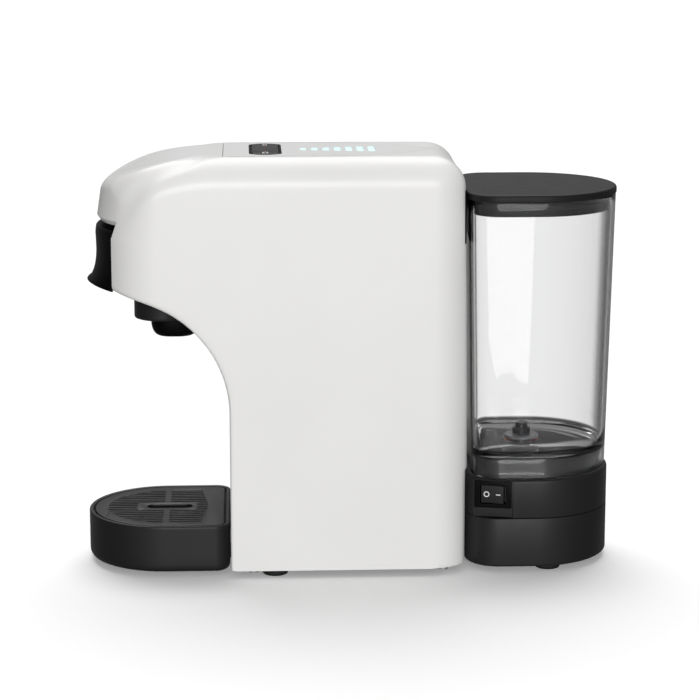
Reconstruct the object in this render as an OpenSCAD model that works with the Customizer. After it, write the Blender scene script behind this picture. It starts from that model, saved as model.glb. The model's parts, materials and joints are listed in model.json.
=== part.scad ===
// Pod coffee machine: a slim white housing with an overhanging head, a round drip tray in front
// and a clear water tank that stands on its own base behind.
// The front faces -Y, +Z is up, and the origin is the middle of the footprint on the table.

/* [Housing] */
// Width of the white housing
body_w = 100; // [98:1:102]
// Height of the flat top above the table
body_top = 251; // [248:1:254]
// Wall thickness of the housing
wall = 2.4; // [2:0.2:2.8]
// Radius of the long shoulders beside the top panel
shoulder_r = 17; // [14:1:18]
// Radius of the concave arch between the head and the column
arch_r = 70; // [66:1:72]

/* [Pod drawer] */
// Width of the drawer front
drawer_w = 70; // [66:1:70]
// How far the drawer pulls out
drawer_travel = 60; // [40:1:60]
// Radius of the pod seat in the holder
pod_r = 22; // [20:0.5:22.5]

/* [Drip tray] */
// Radius of the round front of the drip tray
tray_r = 47.5; // [46:0.5:48]
// Height of the rim of the drip tray
tray_top = 31.5; // [30:0.5:34]
// Number of slots in the grille, each side of the middle
grille_slots = 9; // [6:1:10]

/* [Water tank] */
// Radius of the round back of the tank lid
lid_r = 51.5; // [51:0.5:52]
// Radius of the round back of the tank at its rim
rim_r = 49.6; // [49:0.2:50]
// Radius of the round back of the tank at its foot
foot_r = 46; // [45:0.5:46.5]
// Wall thickness of the tank
tank_wall = 2.6; // [2:0.2:3]

/* [Base] */
// Radius of the round back of the base under the tank
base_r = 47.5; // [47:0.5:48]
// Height of the deck that the tank stands on
deck_z = 58; // [57:0.5:59]
// Height of the seam round the base
seam_z = 34; // [32:0.5:36]

/* [Controls] */
// Number of level bars on the top panel
bar_count = 7; // [3:1:7]
// Distance between level bars
bar_pitch = 6.8; // [6.2:0.1:7]
// Press depth of the brew button
button_travel = 1.2; // [0.8:0.1:1.5]

/* [Hidden] */
$fn = 96;
eps = 0.01;
cut = 0.3;
gap = 0.3;

// Housing levels and places
bottom_z = 4.2;
column_y = -73.5;
rear_low = 67.8;
rear_step = 69.2;
rear_top = 66.2;
rear_round = 20;
rear_edge = 70.4;
slope_y = -80;
slope_r = 131;
slope_z = body_top - slope_r;
nose_y = -153;
nose_r = 61;
nose_cy = nose_y + nose_r;
nose_side_r = 34;
nose_side_x = body_w / 2 - nose_side_r;
nose_side_y = nose_cy - sqrt(pow(nose_r - nose_side_r, 2) - pow(nose_side_x, 2));
nose_share = nose_side_x / (nose_r - nose_side_r);
back_r = 24;
arch_cy = column_y - arch_r;
arch_cz = 100;
under_slope = 0.3;
under_a = atan(under_slope);
under_y = arch_cy + arch_r * sin(under_a);
under_z = arch_cz + arch_r * cos(under_a);

// Top panel
inlay_t = 1.5;
strip_half = 33.5;
strip_front = -142;
strip_back = 50;
strip_taper = 50;
strip_seam = -76;
ledge = 3;
button_y = -51;
button_len = 50;
button_wide = 16.6;
button_end_r = 10;
bars_y = -28.3;
bar_w = 3.9;
bar_first = 10;
bar_last = 23;

// Drawer and brewing parts
pod_y = -113;
drawer_top = 209;
frame_z0 = 176;
frame_z1 = 205.6;
frame_half = 31.4;
frame_back = -55;
holder_r = pod_r + 2.6;
flange_r = holder_r + 3;
brew_z0 = 210;
brew_z1 = 231;
piston_r = 20;
fit = 0.05;
collar_r = 17.5;
collar_z0 = 150;
collar_z1 = 174.5;
spout_r = 12.5;
spout_y = -108;
spout_z = 139;

// Rear base and tank
base_front = 68.3;
base_rear = 157.7;
base_cy = base_rear - base_r;
base_corner = 20;
base_z = 3.8;
base_t = 2.6;
riser_h = 12.4;
riser_z = deck_z + riser_h;
dock_back = 66.5;
tank_cy = 110;
tank_z0 = deck_z + 0.2;
tank_z1 = 225.2;
tank_front_top = 68;
tank_front_foot = 71.4;
tank_corner = 18;
floor_z = riser_z + 0.4;
floor_t = 2.4;
lid_z = tank_z1 + 0.1;
lid_t = 4.2;
lid_cy = 160 - lid_r;
lid_front = 66.9;
valve_y = 105;
panel_a = 12;
panel_y = 83.5;
panel_x = 44;
panel_w = 24;
panel_z0 = seam_z + 0.3;
panel_z1 = deck_z - 1.2;
switch_z = 48.5;
switch_w = 22.4;
switch_h = 16.6;
rocker_w = 15;
rocker_h = 11;
rocker_tilt = 6;

// Drip tray
tray_cy = -160 + tray_r;
tray_back = -74;
tray_z = 3;
tray_t = 2.4;
grille_t = 2.4;
grille_r = tray_r - 3.4;
rail_len = 22;

// Interior
plate_z = bottom_z + 0.2;
plate_t = 3;
screw_at = [[-43.6, -60], [43.6, -60], [-42, 54], [42, 54]];
foot_h = 4.4;
foot_r0 = 8;
front_foot = [40, -47];
rear_foot = [34, 118];
boiler_y = -16;
boiler_r = 25;
boiler_z0 = 146;
boiler_z1 = 196;
pump_x = -20;
pump_y = 14;
pump_z = 34;
spine_y = 44;
shelf_z = 141;
meter_x = 22;
meter_y = 22;
meter_z = 30;

// ---------- shared shapes ----------

// Runs a flat shape drawn in y and z across the machine, from x0 to x1
module across(x0, x1) {
    translate([x0, 0, 0])
        rotate([90, 0, 90])
            linear_extrude(x1 - x0)
                children();
}

// Round bar between two points
module rod(a, b, r) {
    d = b - a;
    n = norm(d);
    translate(a)
        rotate([0, acos(d[2] / n), atan2(d[1], d[0])])
            cylinder(h = n, r = r, $fn = 32);
}

// Hose along straight runs with round elbows, whose seams are turned out of the way
module hose(points, r, turn = 0) {
    for (i = [0 : len(points) - 2])
        rod(points[i], points[i + 1], r);
    for (i = [1 : len(points) - 2])
        translate(points[i])
            rotate([0, 0, turn])
                sphere(r * 1.08, $fn = 32);
}

// Rectangle with round corners, centred
module round_rect(w, h, r) {
    square([w - 2 * r, h], center = true);
    square([w, h - 2 * r], center = true);
    for (x = [-1, 1])
        for (y = [-1, 1])
            translate([x * (w / 2 - r), y * (h / 2 - r)])
                circle(r);
}

// D outline seen from above: round back, straight front with round corners
module d_plan(r, cy, front, corner) {
    intersection() {
        translate([0, cy])
            circle(r);
        translate([-r - 1, cy - 5])
            square([2 * r + 2, r + 10]);
    }
    translate([-r + corner, front])
        square([2 * (r - corner), cy - front]);
    translate([-r, front + corner])
        square([2 * r, cy - front - corner]);
    for (s = [-1, 1])
        translate([s * (r - corner), front + corner])
            circle(corner);
}

// Pan-head screw standing on its tip, head at the bottom
module screw(head_r, head_h, shank_r, shank_h) {
    difference() {
        cylinder(h = head_h, r = head_r, $fn = 32);
        translate([0, 0, -eps])
            cylinder(h = head_h * 0.6, r = head_r * 0.4, $fn = 6);
    }
    translate([0, 0, head_h - eps])
        cylinder(h = shank_h, r = shank_r, $fn = 32);
}

// ---------- housing form ----------

// Outline from above, t inside the outer surface
module plan_view(t) {
    half = body_w / 2;
    translate([-(half - t), nose_side_y])
        square([2 * (half - t), rear_edge - back_r - nose_side_y]);
    translate([-(half - back_r), -60])
        square([2 * (half - back_r), 60 + rear_edge - t]);
    for (s = [-1, 1]) {
        translate([s * (half - back_r), rear_edge - back_r])
            circle(back_r - t);
        translate([s * nose_side_x, nose_side_y])
            circle(nose_side_r - t);
    }
    intersection() {
        translate([0, nose_cy])
            circle(nose_r - t, $fn = 128);
        translate([-nose_share * (nose_r - t), nose_y])
            square([2 * nose_share * (nose_r - t), nose_side_y - nose_y]);
    }
}

// Cross section of the top, lying on its side: flat middle and round shoulders.
// The first axis is height over the centre of the front slope, from base up.
module shoulder_view(t, base) {
    half = body_w / 2 + cut;
    translate([base, -(half - t)])
        square([slope_r - shoulder_r - base, 2 * (half - t)]);
    translate([base, -(half - shoulder_r)])
        square([slope_r - t - base, 2 * (half - shoulder_r)]);
    for (s = [-1, 1])
        translate([slope_r - shoulder_r, s * (half - shoulder_r)])
            circle(shoulder_r - t);
}

// Space under the head and in front of the column, grown by t
module bay_view(t) {
    translate([arch_cy, arch_cz])
        circle(arch_r + t, $fn = 160);
    translate([-260, -60])
        square([260 + column_y - cut + t, 60 + arch_cz]);
    line_z = under_z - cut + t / cos(under_a);
    polygon([
        [under_y + 6, line_z - 6 * under_slope],
        [-260, line_z + (260 + under_y) * under_slope],
        [-260, 0],
        [under_y + 6, 0]
    ]);
}

// Outline from the side, t inside the outer surface, down to the level low
module side_view(t, low) {
    round_z = body_top - rear_round + cut;
    round_y = rear_top - rear_round;
    difference() {
        union() {
            polygon([
                [-200, low],
                [rear_low - t, low],
                [rear_low - t, deck_z + 4],
                [rear_step - t, deck_z + 4],
                [rear_top - t, round_z],
                [round_y, round_z],
                [round_y, body_top + 10],
                [-200, body_top + 10]
            ]);
            translate([round_y, round_z])
                circle(rear_round - t);
        }
        bay_view(t);
    }
}

// Solid inside of the housing's outer surface, t below it
module housing_form(t, low) {
    intersection() {
        union() {
            translate([0, slope_y, slope_z])
                rotate([0, -90, -90])
                    linear_extrude(100 - slope_y)
                        shoulder_view(t, low - slope_z - 9);
            translate([0, slope_y, slope_z])
                rotate([0, 90, 0])
                    rotate_extrude($fn = 180)
                        shoulder_view(t, 0);
        }
        translate([0, 0, low - 5])
            linear_extrude(body_top + 20 - low)
                plan_view(t);
        across(-70, 70)
            side_view(t, low);
    }
}

// Outline of the long top panel from above, grown by g: pointed at both ends
module strip_plan(g) {
    n = 14;
    half = strip_half + g;
    front = [for (i = [0 : n]) let (u = i / n)
        [half * (1 - u * u), strip_front + strip_taper - u * (strip_taper + g)]];
    back = [for (i = [0 : n]) let (u = 1 - i / n)
        [half * (1 - u * u), strip_back - strip_taper + u * (strip_taper + g)]];
    right = concat(back, front);
    left = [for (i = [len(right) - 2 : -1 : 1]) [-right[i][0], right[i][1]]];
    polygon(concat(right, left));
}

// Slice of the housing's skin between depths a and b, inside the panel outline
module top_skin(a, b, g) {
    intersection() {
        difference() {
            housing_form(a, 0);
            housing_form(b, -20);
        }
        translate([0, 0, 200])
            linear_extrude(60)
                strip_plan(g);
    }
}

module housing() {
    color("#e9e8e6")
        difference() {
            union() {
                difference() {
                    housing_form(0, bottom_z);
                    housing_form(wall, -20);
                }
                for (p = screw_at)
                    intersection() {
                        translate([p[0], p[1], plate_z + plate_t + 0.1])
                            cylinder(h = 22, r = 4.5);
                        housing_form(wall / 2, 0);
                    }
            }
            // bed of the top panel, and the opening under it
            top_skin(-1, inlay_t, 0.15);
            intersection() {
                translate([0, 0, 200])
                    linear_extrude(60)
                        strip_plan(-ledge);
                housing_form(0, 0);
            }
            // mouth of the pod drawer
            translate([-drawer_w / 2 - gap, -170, 160])
                cube([drawer_w + 2 * gap, 170 + pod_y - 28, drawer_top - 160 + gap]);
            // hole for the coffee outlet
            translate([0, pod_y, 130])
                cylinder(h = 50, r = collar_r + 0.2);
            // slots for the rails of the drip tray
            for (s = [-1, 1])
                translate([s * 34 - 3.4, column_y - 4, tray_z + 5.6])
                    cube([6.8, 12, 8.8]);
            // opening to the base for water and wires
            translate([-22, rear_low - 12, 14])
                cube([44, 20, 36]);
            // pocket of the tank dock
            translate([-40, 62, 199])
                cube([80, 10, 32]);
            for (p = screw_at)
                translate([p[0], p[1], 0])
                    cylinder(h = 24, r = 1.3);
        }
}

module bottom_plate() {
    color("#2b2b2b")
        difference() {
            intersection() {
                translate([0, 0, plate_z])
                    linear_extrude(plate_t)
                        plan_view(wall + gap);
                translate([-60, column_y + wall + gap, 0])
                    cube([120, rear_low - wall - gap - column_y - wall - gap, 40]);
            }
            for (p = screw_at)
                translate([p[0], p[1], 0])
                    cylinder(h = 20, r = 1.7);
            for (y = [-30 : 12 : 30])
                translate([-20, y, 0])
                    cube([40, 4, 20]);
            for (s = [-1, 1])
                translate([s * front_foot[0], front_foot[1], 0])
                    cylinder(h = 20, r = 2.5);
        }
}

module plate_screws() {
    color("#8a8d90")
        for (p = screw_at)
            translate([p[0], p[1], plate_z - 2])
                screw(3.2, 2, 1.25, 12);
}

// Round foot with a plug that presses into the plate above
module foot() {
    cylinder(h = foot_h - 1.4, r1 = foot_r0 - 0.8, r2 = foot_r0);
    translate([0, 0, foot_h - 1.4 - eps])
        cylinder(h = 1.4, r = foot_r0 - 1);
    translate([0, 0, foot_h - 0.5])
        cylinder(h = 2.6, r = 2.45);
}

module front_feet() {
    color("#161616")
        for (s = [-1, 1])
            translate([s * front_foot[0], front_foot[1], 0])
                foot();
}

// ---------- top panel and controls ----------

module nose_inlay() {
    color("#dcdcdb")
        intersection() {
            top_skin(0, inlay_t, 0);
            translate([-50, -200, 180])
                cube([100, 200 + strip_seam - 0.15, 100]);
        }
}

// Outline of the button: long across the machine, with bulging ends
module button_plan(g) {
    half = button_len / 2 - button_end_r;
    square([2 * half, button_wide + 2 * g], center = true);
    intersection() {
        square([button_len + 2 * g, button_wide + 2 * g], center = true);
        for (s = [-1, 1])
            translate([s * half, 0])
                circle(button_end_r + g);
    }
}

// Length of level bar number i
function bar_len(i) = bar_first + (bar_last - bar_first) * i / (bar_count - 1);

module control_inlay() {
    color("#dcdcdb")
        difference() {
            intersection() {
                top_skin(0, inlay_t, 0);
                translate([-50, strip_seam + 0.15, 180])
                    cube([100, 200, 100]);
            }
            translate([0, button_y, 200])
                linear_extrude(60)
                    button_plan(1.4);
            for (i = [0 : bar_count - 1])
                translate([0, bars_y + i * bar_pitch, 200])
                    linear_extrude(60)
                        square([bar_len(i) + 0.2, bar_w + 0.2], center = true);
        }
}

module level_bars() {
    color("#dff6f6") {
        for (i = [0 : bar_count - 1])
            translate([0, bars_y + i * bar_pitch, body_top - inlay_t - 0.2])
                linear_extrude(inlay_t + 0.1)
                    square([bar_len(i), bar_w], center = true);
        translate([-13, bars_y - 4, body_top - inlay_t - 2])
            cube([26, (bar_count - 1) * bar_pitch + 8, 1.9]);
    }
}

module button_bezel() {
    color("#161616")
        translate([0, button_y, body_top - 4.6])
            linear_extrude(4.8)
                difference() {
                    button_plan(1.3);
                    button_plan(0.15);
                }
}

module brew_button() {
    color("#0d0d0e")
        translate([0, button_y, body_top - 4.2])
            linear_extrude(4.6)
                button_plan(0);
}

module button_switch() {
    color("#303236")
        for (s = [-1, 1])
            translate([s * 11 - 3, button_y - 3, control_z() + 1.7])
                cube([6, 6, body_top - 4.2 - button_travel - control_z() - 1.9]);
}

function control_z() = body_top - 12;

module control_board() {
    color("#1f5b3a")
        difference() {
            translate([-29, -66, control_z()])
                cube([58, 92, 1.6]);
            for (x = [-25, 25])
                for (y = [-62, 22])
                    translate([x, y, control_z() - 1])
                        cylinder(h = 4, r = 1.5);
        }
}

// ---------- brewing parts in the head ----------

module head_frame() {
    color("#3a3c3f")
        difference() {
            union() {
                for (s = [-1, 1])
                    translate([s * 35.2 - 1.6, -132, 176])
                        cube([3.2, 74, 50]);
                translate([-36.8, -132, brew_z1 + 0.1])
                    cube([73.6, 74, 2]);
                for (s = [-1, 1])
                    translate([s * 35.2 - 1.6, -132, 225])
                        cube([3.2, 74, brew_z1 - 223]);
            }
            // room above the brew head for the brew hose
            translate([0, pod_y + 10, brew_z1 - 1])
                cylinder(h = 10, r = 6);
        }
}

module brew_head() {
    color("#24262a")
        difference() {
            translate([-33.4, pod_y - 24, brew_z0])
                cube([66.8, 52, brew_z1 - brew_z0]);
            translate([0, pod_y, brew_z0 - 1])
                cylinder(h = 16, r = piston_r);
            translate([0, pod_y + 10, brew_z0 + 10])
                cylinder(h = 20, r = 2.6);
        }
}

module piston() {
    color("#c9c2b2")
        difference() {
            translate([0, pod_y, brew_z0 + 0.6])
                cylinder(h = 12, r = piston_r - fit);
            translate([0, pod_y, brew_z0 + 6.4])
                rotate_extrude()
                    translate([piston_r - 1.8, 0])
                        square([3, 2.6]);
            translate([0, pod_y, brew_z0])
                cylinder(h = 3, r = 15);
        }
}

module piston_seal() {
    color("#b4492b")
        translate([0, pod_y, brew_z0 + 6.5])
            rotate_extrude()
                translate([piston_r - 1.75, 0])
                    square([1.65, 2.4]);
}

// Drawer front: a grip hollowed in height and round in plan, with a lip below
module drawer_front() {
    color("#121214")
        difference() {
            intersection() {
                translate([0, nose_cy, 0])
                    rotate_extrude($fn = 128)
                        polygon(concat(
                            [[30, 171.5], [nose_r + 4.9, 171.5]],
                            [for (i = [0 : 12]) let (u = i / 12)
                                [nose_r + 5.4 * pow(1 - u, 4) - 0.4 * sin(180 * u) - 0.2,
                                 173 + 30 * u]],
                            [[nose_r - 0.9, drawer_top - 1.5], [nose_r - 5, drawer_top - 0.2],
                             [30, drawer_top - 0.2]]
                        ));
                translate([-drawer_w / 2, -170, 150])
                    cube([drawer_w, 170 + pod_y - 28.3, 80]);
            }
            // finger hollow behind the lip
            translate([0, nose_cy - 50, 0])
                across(-26, 26)
                    polygon([[-30, 150], [-0.8, 150], [-0.8, 173.4], [-9, 175], [-12, 174]]);
        }
}

module drawer_frame() {
    color("#2a2b2e")
        difference() {
            translate([-frame_half, pod_y - 28, frame_z0])
                cube([2 * frame_half, 28 - pod_y + frame_back, frame_z1 - frame_z0]);
            translate([0, pod_y, frame_z0 - 1])
                cylinder(h = 40, r = holder_r + 0.1);
            translate([0, pod_y, frame_z1 - 4])
                cylinder(h = 10, r = flange_r + 0.1);
            translate([-frame_half + 4, pod_y + 31, frame_z0 + 3])
                cube([2 * frame_half - 8, frame_back - pod_y - 35, 40]);
        }
}

module pod_holder() {
    color("#b9bcc0")
        difference() {
            union() {
                translate([0, pod_y, frame_z0 + 0.4])
                    cylinder(h = frame_z1 - frame_z0 - 0.8, r = holder_r);
                translate([0, pod_y, frame_z1 - 3.9])
                    cylinder(h = 3.5, r = flange_r);
            }
            translate([0, pod_y, frame_z0 + 5])
                cylinder(h = 40, r = pod_r);
            translate([0, pod_y, frame_z0 - 1])
                cylinder(h = 20, r = 4);
        }
}

module outlet_collar() {
    color("#17181a")
        difference() {
            translate([0, pod_y, collar_z0])
                cylinder(h = collar_z1 - collar_z0, r = collar_r);
            translate([0, pod_y, collar_z0 + 6])
                cylinder(h = collar_z1 - collar_z0, r1 = 5, r2 = collar_r - 2);
            translate([0, spout_y, collar_z0 - 1])
                cylinder(h = 12, r = 4);
        }
}

module spout() {
    color("#101012")
        difference() {
            union() {
                translate([0, spout_y, spout_z + 3])
                    cylinder(h = collar_z0 - spout_z - 3.1, r = spout_r);
                translate([0, spout_y, spout_z])
                    cylinder(h = 3.01, r1 = spout_r - 4, r2 = spout_r);
            }
            translate([0, spout_y, spout_z + 4])
                cylinder(h = 20, r = spout_r - 2.2);
            for (s = [-1, 1])
                translate([s * 4.6, spout_y, spout_z - 1])
                    cylinder(h = 20, r = 2.2);
        }
}

// ---------- heating, pump and boards in the column ----------

module boiler() {
    color("#a9adb2")
        difference() {
            union() {
                translate([0, boiler_y, boiler_z0])
                    cylinder(h = boiler_z1 - boiler_z0, r = boiler_r);
                for (i = [0 : 3])
                    translate([0, boiler_y, boiler_z0 + 6 + i * 12])
                        cylinder(h = 3, r = boiler_r + 2);
                translate([0, boiler_y, boiler_z1 - eps])
                    cylinder(h = 8, r = 6);
                translate([14, boiler_y, boiler_z1 - eps])
                    cylinder(h = 6, r = 4);
            }
            translate([14, boiler_y, boiler_z1 - 20])
                cylinder(h = 40, r = 1.5);
        }
}

module boiler_straps() {
    color("#7d8186")
        for (s = [-1, 1])
            translate([s * (boiler_r + 6) - 2, boiler_y - 8, shelf_z + 3.1])
                difference() {
                    cube([4, 16, 40]);
                    translate([-1, 8, 32])
                        rotate([0, 90, 0])
                            cylinder(h = 10, r = 2.2);
                }
}

module thermostat() {
    color("#d9d4c6")
        translate([-12, boiler_y, boiler_z1 + 0.1]) {
            cylinder(h = 5, r = 5.5);
            translate([-4, -1, 4])
                cube([8, 2, 6]);
        }
}

module inner_frame() {
    color("#4a4d51")
        difference() {
            union() {
                translate([-40, spine_y, plate_z + plate_t + 0.1])
                    cube([80, 2.4, 190]);
                translate([-40, -58, shelf_z])
                    cube([80, 58 + spine_y + 0.5, 3]);
            }
            // way for the hoses
            translate([pump_x, pump_y, shelf_z - 2])
                cylinder(h = 8, r = 5);
            translate([-20, spine_y - 2, 18])
                cube([52, 8, 26]);
            for (z = [70 : 30 : 130])
                translate([0, spine_y - 1, z])
                    rotate([-90, 0, 0])
                        cylinder(h = 6, r = 8);
        }
}

module pump_body() {
    color("#cfc6b4")
        difference() {
            union() {
                translate([pump_x, pump_y, pump_z])
                    cylinder(h = 92, r = 11);
                translate([pump_x, pump_y, pump_z + 91])
                    cylinder(h = 10, r = 5);
                translate([pump_x, pump_y, pump_z - 9])
                    cylinder(h = 10, r = 4);
            }
            translate([pump_x, pump_y, pump_z - 10])
                cylinder(h = 120, r = 1.8);
        }
}

module pump_coil() {
    color("#2d2f55")
        difference() {
            translate([pump_x - 17, pump_y - 17, pump_z + 26])
                cube([34, 34, 42]);
            translate([pump_x, pump_y, pump_z])
                cylinder(h = 100, r = 11.05);
        }
}

module pump_mounts() {
    color("#1d1d1d")
        for (z = [pump_z + 8, pump_z + 76])
            difference() {
                union() {
                    translate([pump_x, pump_y, z])
                        cylinder(h = 10, r = 16);
                    translate([pump_x - 5, pump_y, z])
                        cube([10, spine_y - pump_y - 0.1, 10]);
                }
                translate([pump_x, pump_y, z - 1])
                    cylinder(h = 12, r = 11.05);
            }
}

module flow_meter() {
    color("#e3e0d6")
        difference() {
            union() {
                translate([meter_x, meter_y, meter_z])
                    cylinder(h = 14, r = 13);
                rod([meter_x - 20, meter_y, meter_z + 7], [meter_x, meter_y, meter_z + 7], 3);
                rod([meter_x, meter_y, meter_z + 7], [meter_x, meter_y + 18, meter_z + 7], 3);
            }
            rod([meter_x - 21, meter_y, meter_z + 7], [meter_x - 8, meter_y, meter_z + 7], 1.6);
            rod([meter_x, meter_y + 8, meter_z + 7], [meter_x, meter_y + 19, meter_z + 7], 1.6);
            translate([meter_x, meter_y, meter_z + 3])
                cylinder(h = 8, r = 10);
        }
}

// Water runs socket, meter, pump, boiler, brew head
module suction_hose() {
    color("#b9bec2")
        hose([
            [0, valve_y, 46], [0, valve_y, meter_z + 7], [0, 57, meter_z + 7],
            [meter_x, 57, meter_z + 7], [meter_x, meter_y + 18.2, meter_z + 7]
        ], 2.8, 45);
}

module meter_hose() {
    color("#b9bec2")
        hose([
            [meter_x - 20.2, meter_y, meter_z + 7], [-4, meter_y, meter_z + 7],
            [-4, meter_y, 18], [pump_x, pump_y, 18], [pump_x, pump_y, pump_z - 9.2]
        ], 3);
}

module pressure_hose() {
    color("#d8d8d4")
        hose([
            [pump_x, pump_y, pump_z + 101.2], [pump_x, pump_y, 214], [0, pump_y, 214],
            [0, boiler_y, 214], [0, boiler_y, boiler_z1 + 8.2]
        ], 2.5);
}

module brew_hose() {
    color("#d8d8d4")
        hose([
            [14, boiler_y, boiler_z1 + 6.2], [14, boiler_y, 218], [14, -50, 236.4],
            [0, pod_y + 10, 236.4], [0, pod_y + 10, brew_z1 - 4]
        ], 2.4);
}

module power_board() {
    color("#24603f") {
        translate([-34, spine_y + 7, 70])
            cube([68, 1.6, 110]);
        for (x = [-30, 30])
            for (z = [76, 174])
                translate([x, spine_y + 2.5, z])
                    rotate([-90, 0, 0])
                        cylinder(h = 4.6, r = 2.5, $fn = 32);
        for (p = [[-20, 90, 14], [4, 96, 10], [-16, 130, 18], [14, 140, 12]])
            translate([p[0], spine_y + 8.5, p[1]])
                cube([p[2], 7, p[2]]);
    }
}

// ---------- base under the tank ----------

module base_plan(g) {
    d_plan(base_r - g, base_cy, base_front + g, base_corner - g);
}

// Local frame of the flat switch panel on the right-hand side
module at_panel() {
    translate([panel_x, panel_y, 0])
        rotate([0, 0, -panel_a])
            children();
}

// Pocket for the switch panel, open at the seam
module panel_pocket(g) {
    at_panel()
        translate([-3.2 - g, -panel_w / 2 - g, seam_z - 1])
            cube([20, panel_w + 2 * g, panel_z1 - seam_z + 1 + g]);
}

module base_lower() {
    color("#26272a")
        difference() {
            translate([0, 0, base_z])
                linear_extrude(seam_z - base_z - 0.15)
                    base_plan(0);
            translate([0, 0, base_z + 3])
                linear_extrude(60)
                    base_plan(base_t);
            // opening to the housing
            translate([-20, base_front - 4, 16])
                cube([40, 10, 40]);
            // cable inlet on the far side
            translate([-60, base_cy, 16])
                rotate([0, 90, 0])
                    cylinder(h = 20, r = 6);
            for (p = base_screw_at())
                translate([p[0], p[1], 0])
                    cylinder(h = 12, r = 1.7);
            for (s = [-1, 1])
                translate([s * rear_foot[0], rear_foot[1], 0]) {
                    cylinder(h = 12, r = 2.5);
                    cylinder(h = foot_h + 0.05, r = foot_r0 + 0.3);
                }
        }
}

function base_screw_at() = [[-30, 84], [12, 80], [0, 146]];

module base_upper() {
    color("#2b2c2f")
        difference() {
            union() {
                difference() {
                    translate([0, 0, seam_z + 0.15])
                        linear_extrude(deck_z - seam_z - 0.15)
                            base_plan(0);
                    translate([0, 0, seam_z - 1])
                        linear_extrude(deck_z - seam_z - 2)
                            base_plan(base_t);
                }
                difference() {
                    translate([0, 0, deck_z - eps])
                        linear_extrude(riser_h)
                            d_plan(foot_r - tank_wall - 0.7, tank_cy,
                                tank_front_foot + tank_wall + 0.7, tank_corner - tank_wall);
                    translate([0, 0, deck_z - 4])
                        linear_extrude(riser_h + 1.6)
                            d_plan(foot_r - tank_wall - 3, tank_cy,
                                tank_front_foot + tank_wall + 3, tank_corner - 5);
                }
                for (p = base_screw_at())
                    translate([p[0], p[1], 14])
                        cylinder(h = riser_z - 15.3, r = 4);
            }
            for (p = base_screw_at())
                translate([p[0], p[1], 10])
                    cylinder(h = 20, r = 1.3);
            translate([0, valve_y, deck_z - 10])
                cylinder(h = 40, r = 13);
            panel_pocket(0.15);
            // way through the wall for the back of the switch
            at_panel()
                translate([-9, -switch_w / 2 + 1.1, switch_z - switch_h / 2 + 1.1])
                    cube([12, switch_w - 2.2, switch_h - 2.2]);
            translate([-20, base_front - 4, seam_z - 1])
                cube([40, 10, 15]);
        }
}

module base_screws() {
    color("#8a8d90")
        for (p = base_screw_at())
            translate([p[0], p[1], base_z - 1.8])
                screw(3, 1.8, 1.25, 18);
}

module rear_feet() {
    color("#161616")
        for (s = [-1, 1])
            translate([s * rear_foot[0], rear_foot[1], 0])
                foot();
}

// Block that fills the groove between the head and the tank, and guides the tank's rim
module tank_dock() {
    color("#1e1f21")
        difference() {
            translate([0, 62.2, 199.2])
                linear_extrude(31.6)
                    difference() {
                        translate([-39.8, 0])
                            square([79.6, dock_back - 62.2]);
                        for (s = [-1, 1])
                            translate([s * 40.4, dock_back - 62.2 + 0.6])
                                rotate([0, 0, 45])
                                    square(2.4, center = true);
                    }
            translate([-20, 60, 206])
                cube([40, 3.6, 18]);
        }
}

module switch_panel() {
    color("#222326")
        difference() {
            at_panel()
                translate([-3.2, -panel_w / 2, panel_z0])
                    cube([3.2, panel_w, panel_z1 - panel_z0]);
            at_panel()
                translate([-6, -switch_w / 2 + 1.2, switch_z - switch_h / 2 + 1.2])
                    cube([12, switch_w - 2.4, switch_h - 2.4]);
        }
}

module switch_frame() {
    color("#1a1b1d")
        at_panel()
            difference() {
                union() {
                    translate([0.02, -switch_w / 2, switch_z - switch_h / 2])
                        cube([1.6, switch_w, switch_h]);
                    translate([-5, -switch_w / 2 + 1.3, switch_z - switch_h / 2 + 1.3])
                        cube([5.1, switch_w - 2.6, switch_h - 2.6]);
                }
                translate([-6, -rocker_w / 2 - gap, switch_z - rocker_h / 2 - gap])
                    cube([12, rocker_w + 2 * gap, rocker_h + 2 * gap]);
                // bearing for the pins of the rocker
                translate([-2.4, 0, switch_z - 8])
                    cylinder(h = 16, r = 1.25, $fn = 32);
            }
}

// Rocker with two facets meeting at its middle; it rests with the front facet pressed in
module power_rocker() {
    color("#2e3033")
        at_panel()
            translate([-2.4, 0, switch_z - rocker_h / 2])
                rotate([0, 0, -rocker_tilt]) {
                    linear_extrude(rocker_h)
                        polygon([
                            [-1.6, -6.6], [3.4 + 0.6, -6.9], [3.4, 0], [3.4 + 0.6, 6.9],
                            [-1.6, 6.6]
                        ]);
                    translate([0, 0, -1])
                        cylinder(h = rocker_h + 2, r = 1.2, $fn = 32);
                }
}

module switch_body() {
    color("#151517")
        at_panel() {
            translate([-20, -9, switch_z - 6.4])
                cube([14.8, 18, 12.8]);
            for (y = [-5, 4])
                translate([-26, y, switch_z - 0.5])
                    cube([6.2, 1, 4.8]);
        }
}

module mains_gland() {
    color("#1c1c1e")
        translate([-base_r + 3.4, base_cy, 16])
            rotate([0, -90, 0])
                difference() {
                    union() {
                        translate([0, 0, -3])
                            cylinder(h = 6.6, r = 5.9);
                        translate([0, 0, -4.6])
                            cylinder(h = 3, r = 7.4);
                        translate([0, 0, 3.5])
                            cylinder(h = 1, r = 7.4);
                    }
                    translate([0, 0, -6])
                        cylinder(h = 20, r = 3.2);
                }
}

module valve_socket() {
    color("#303236")
        difference() {
            union() {
                translate([0, valve_y, deck_z - 6])
                    cylinder(h = riser_h + 5.8, r = 12.6);
                translate([0, valve_y, 46.2])
                    cylinder(h = deck_z - 52.1, r = 6);
            }
            translate([0, valve_y, deck_z + 2])
                cylinder(h = 20, r = 9);
            translate([0, valve_y, 40])
                cylinder(h = 22, r = 1.6);
            translate([0, valve_y, deck_z + riser_h - 3.4])
                cylinder(h = 10, r = 11.2);
        }
}

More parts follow.
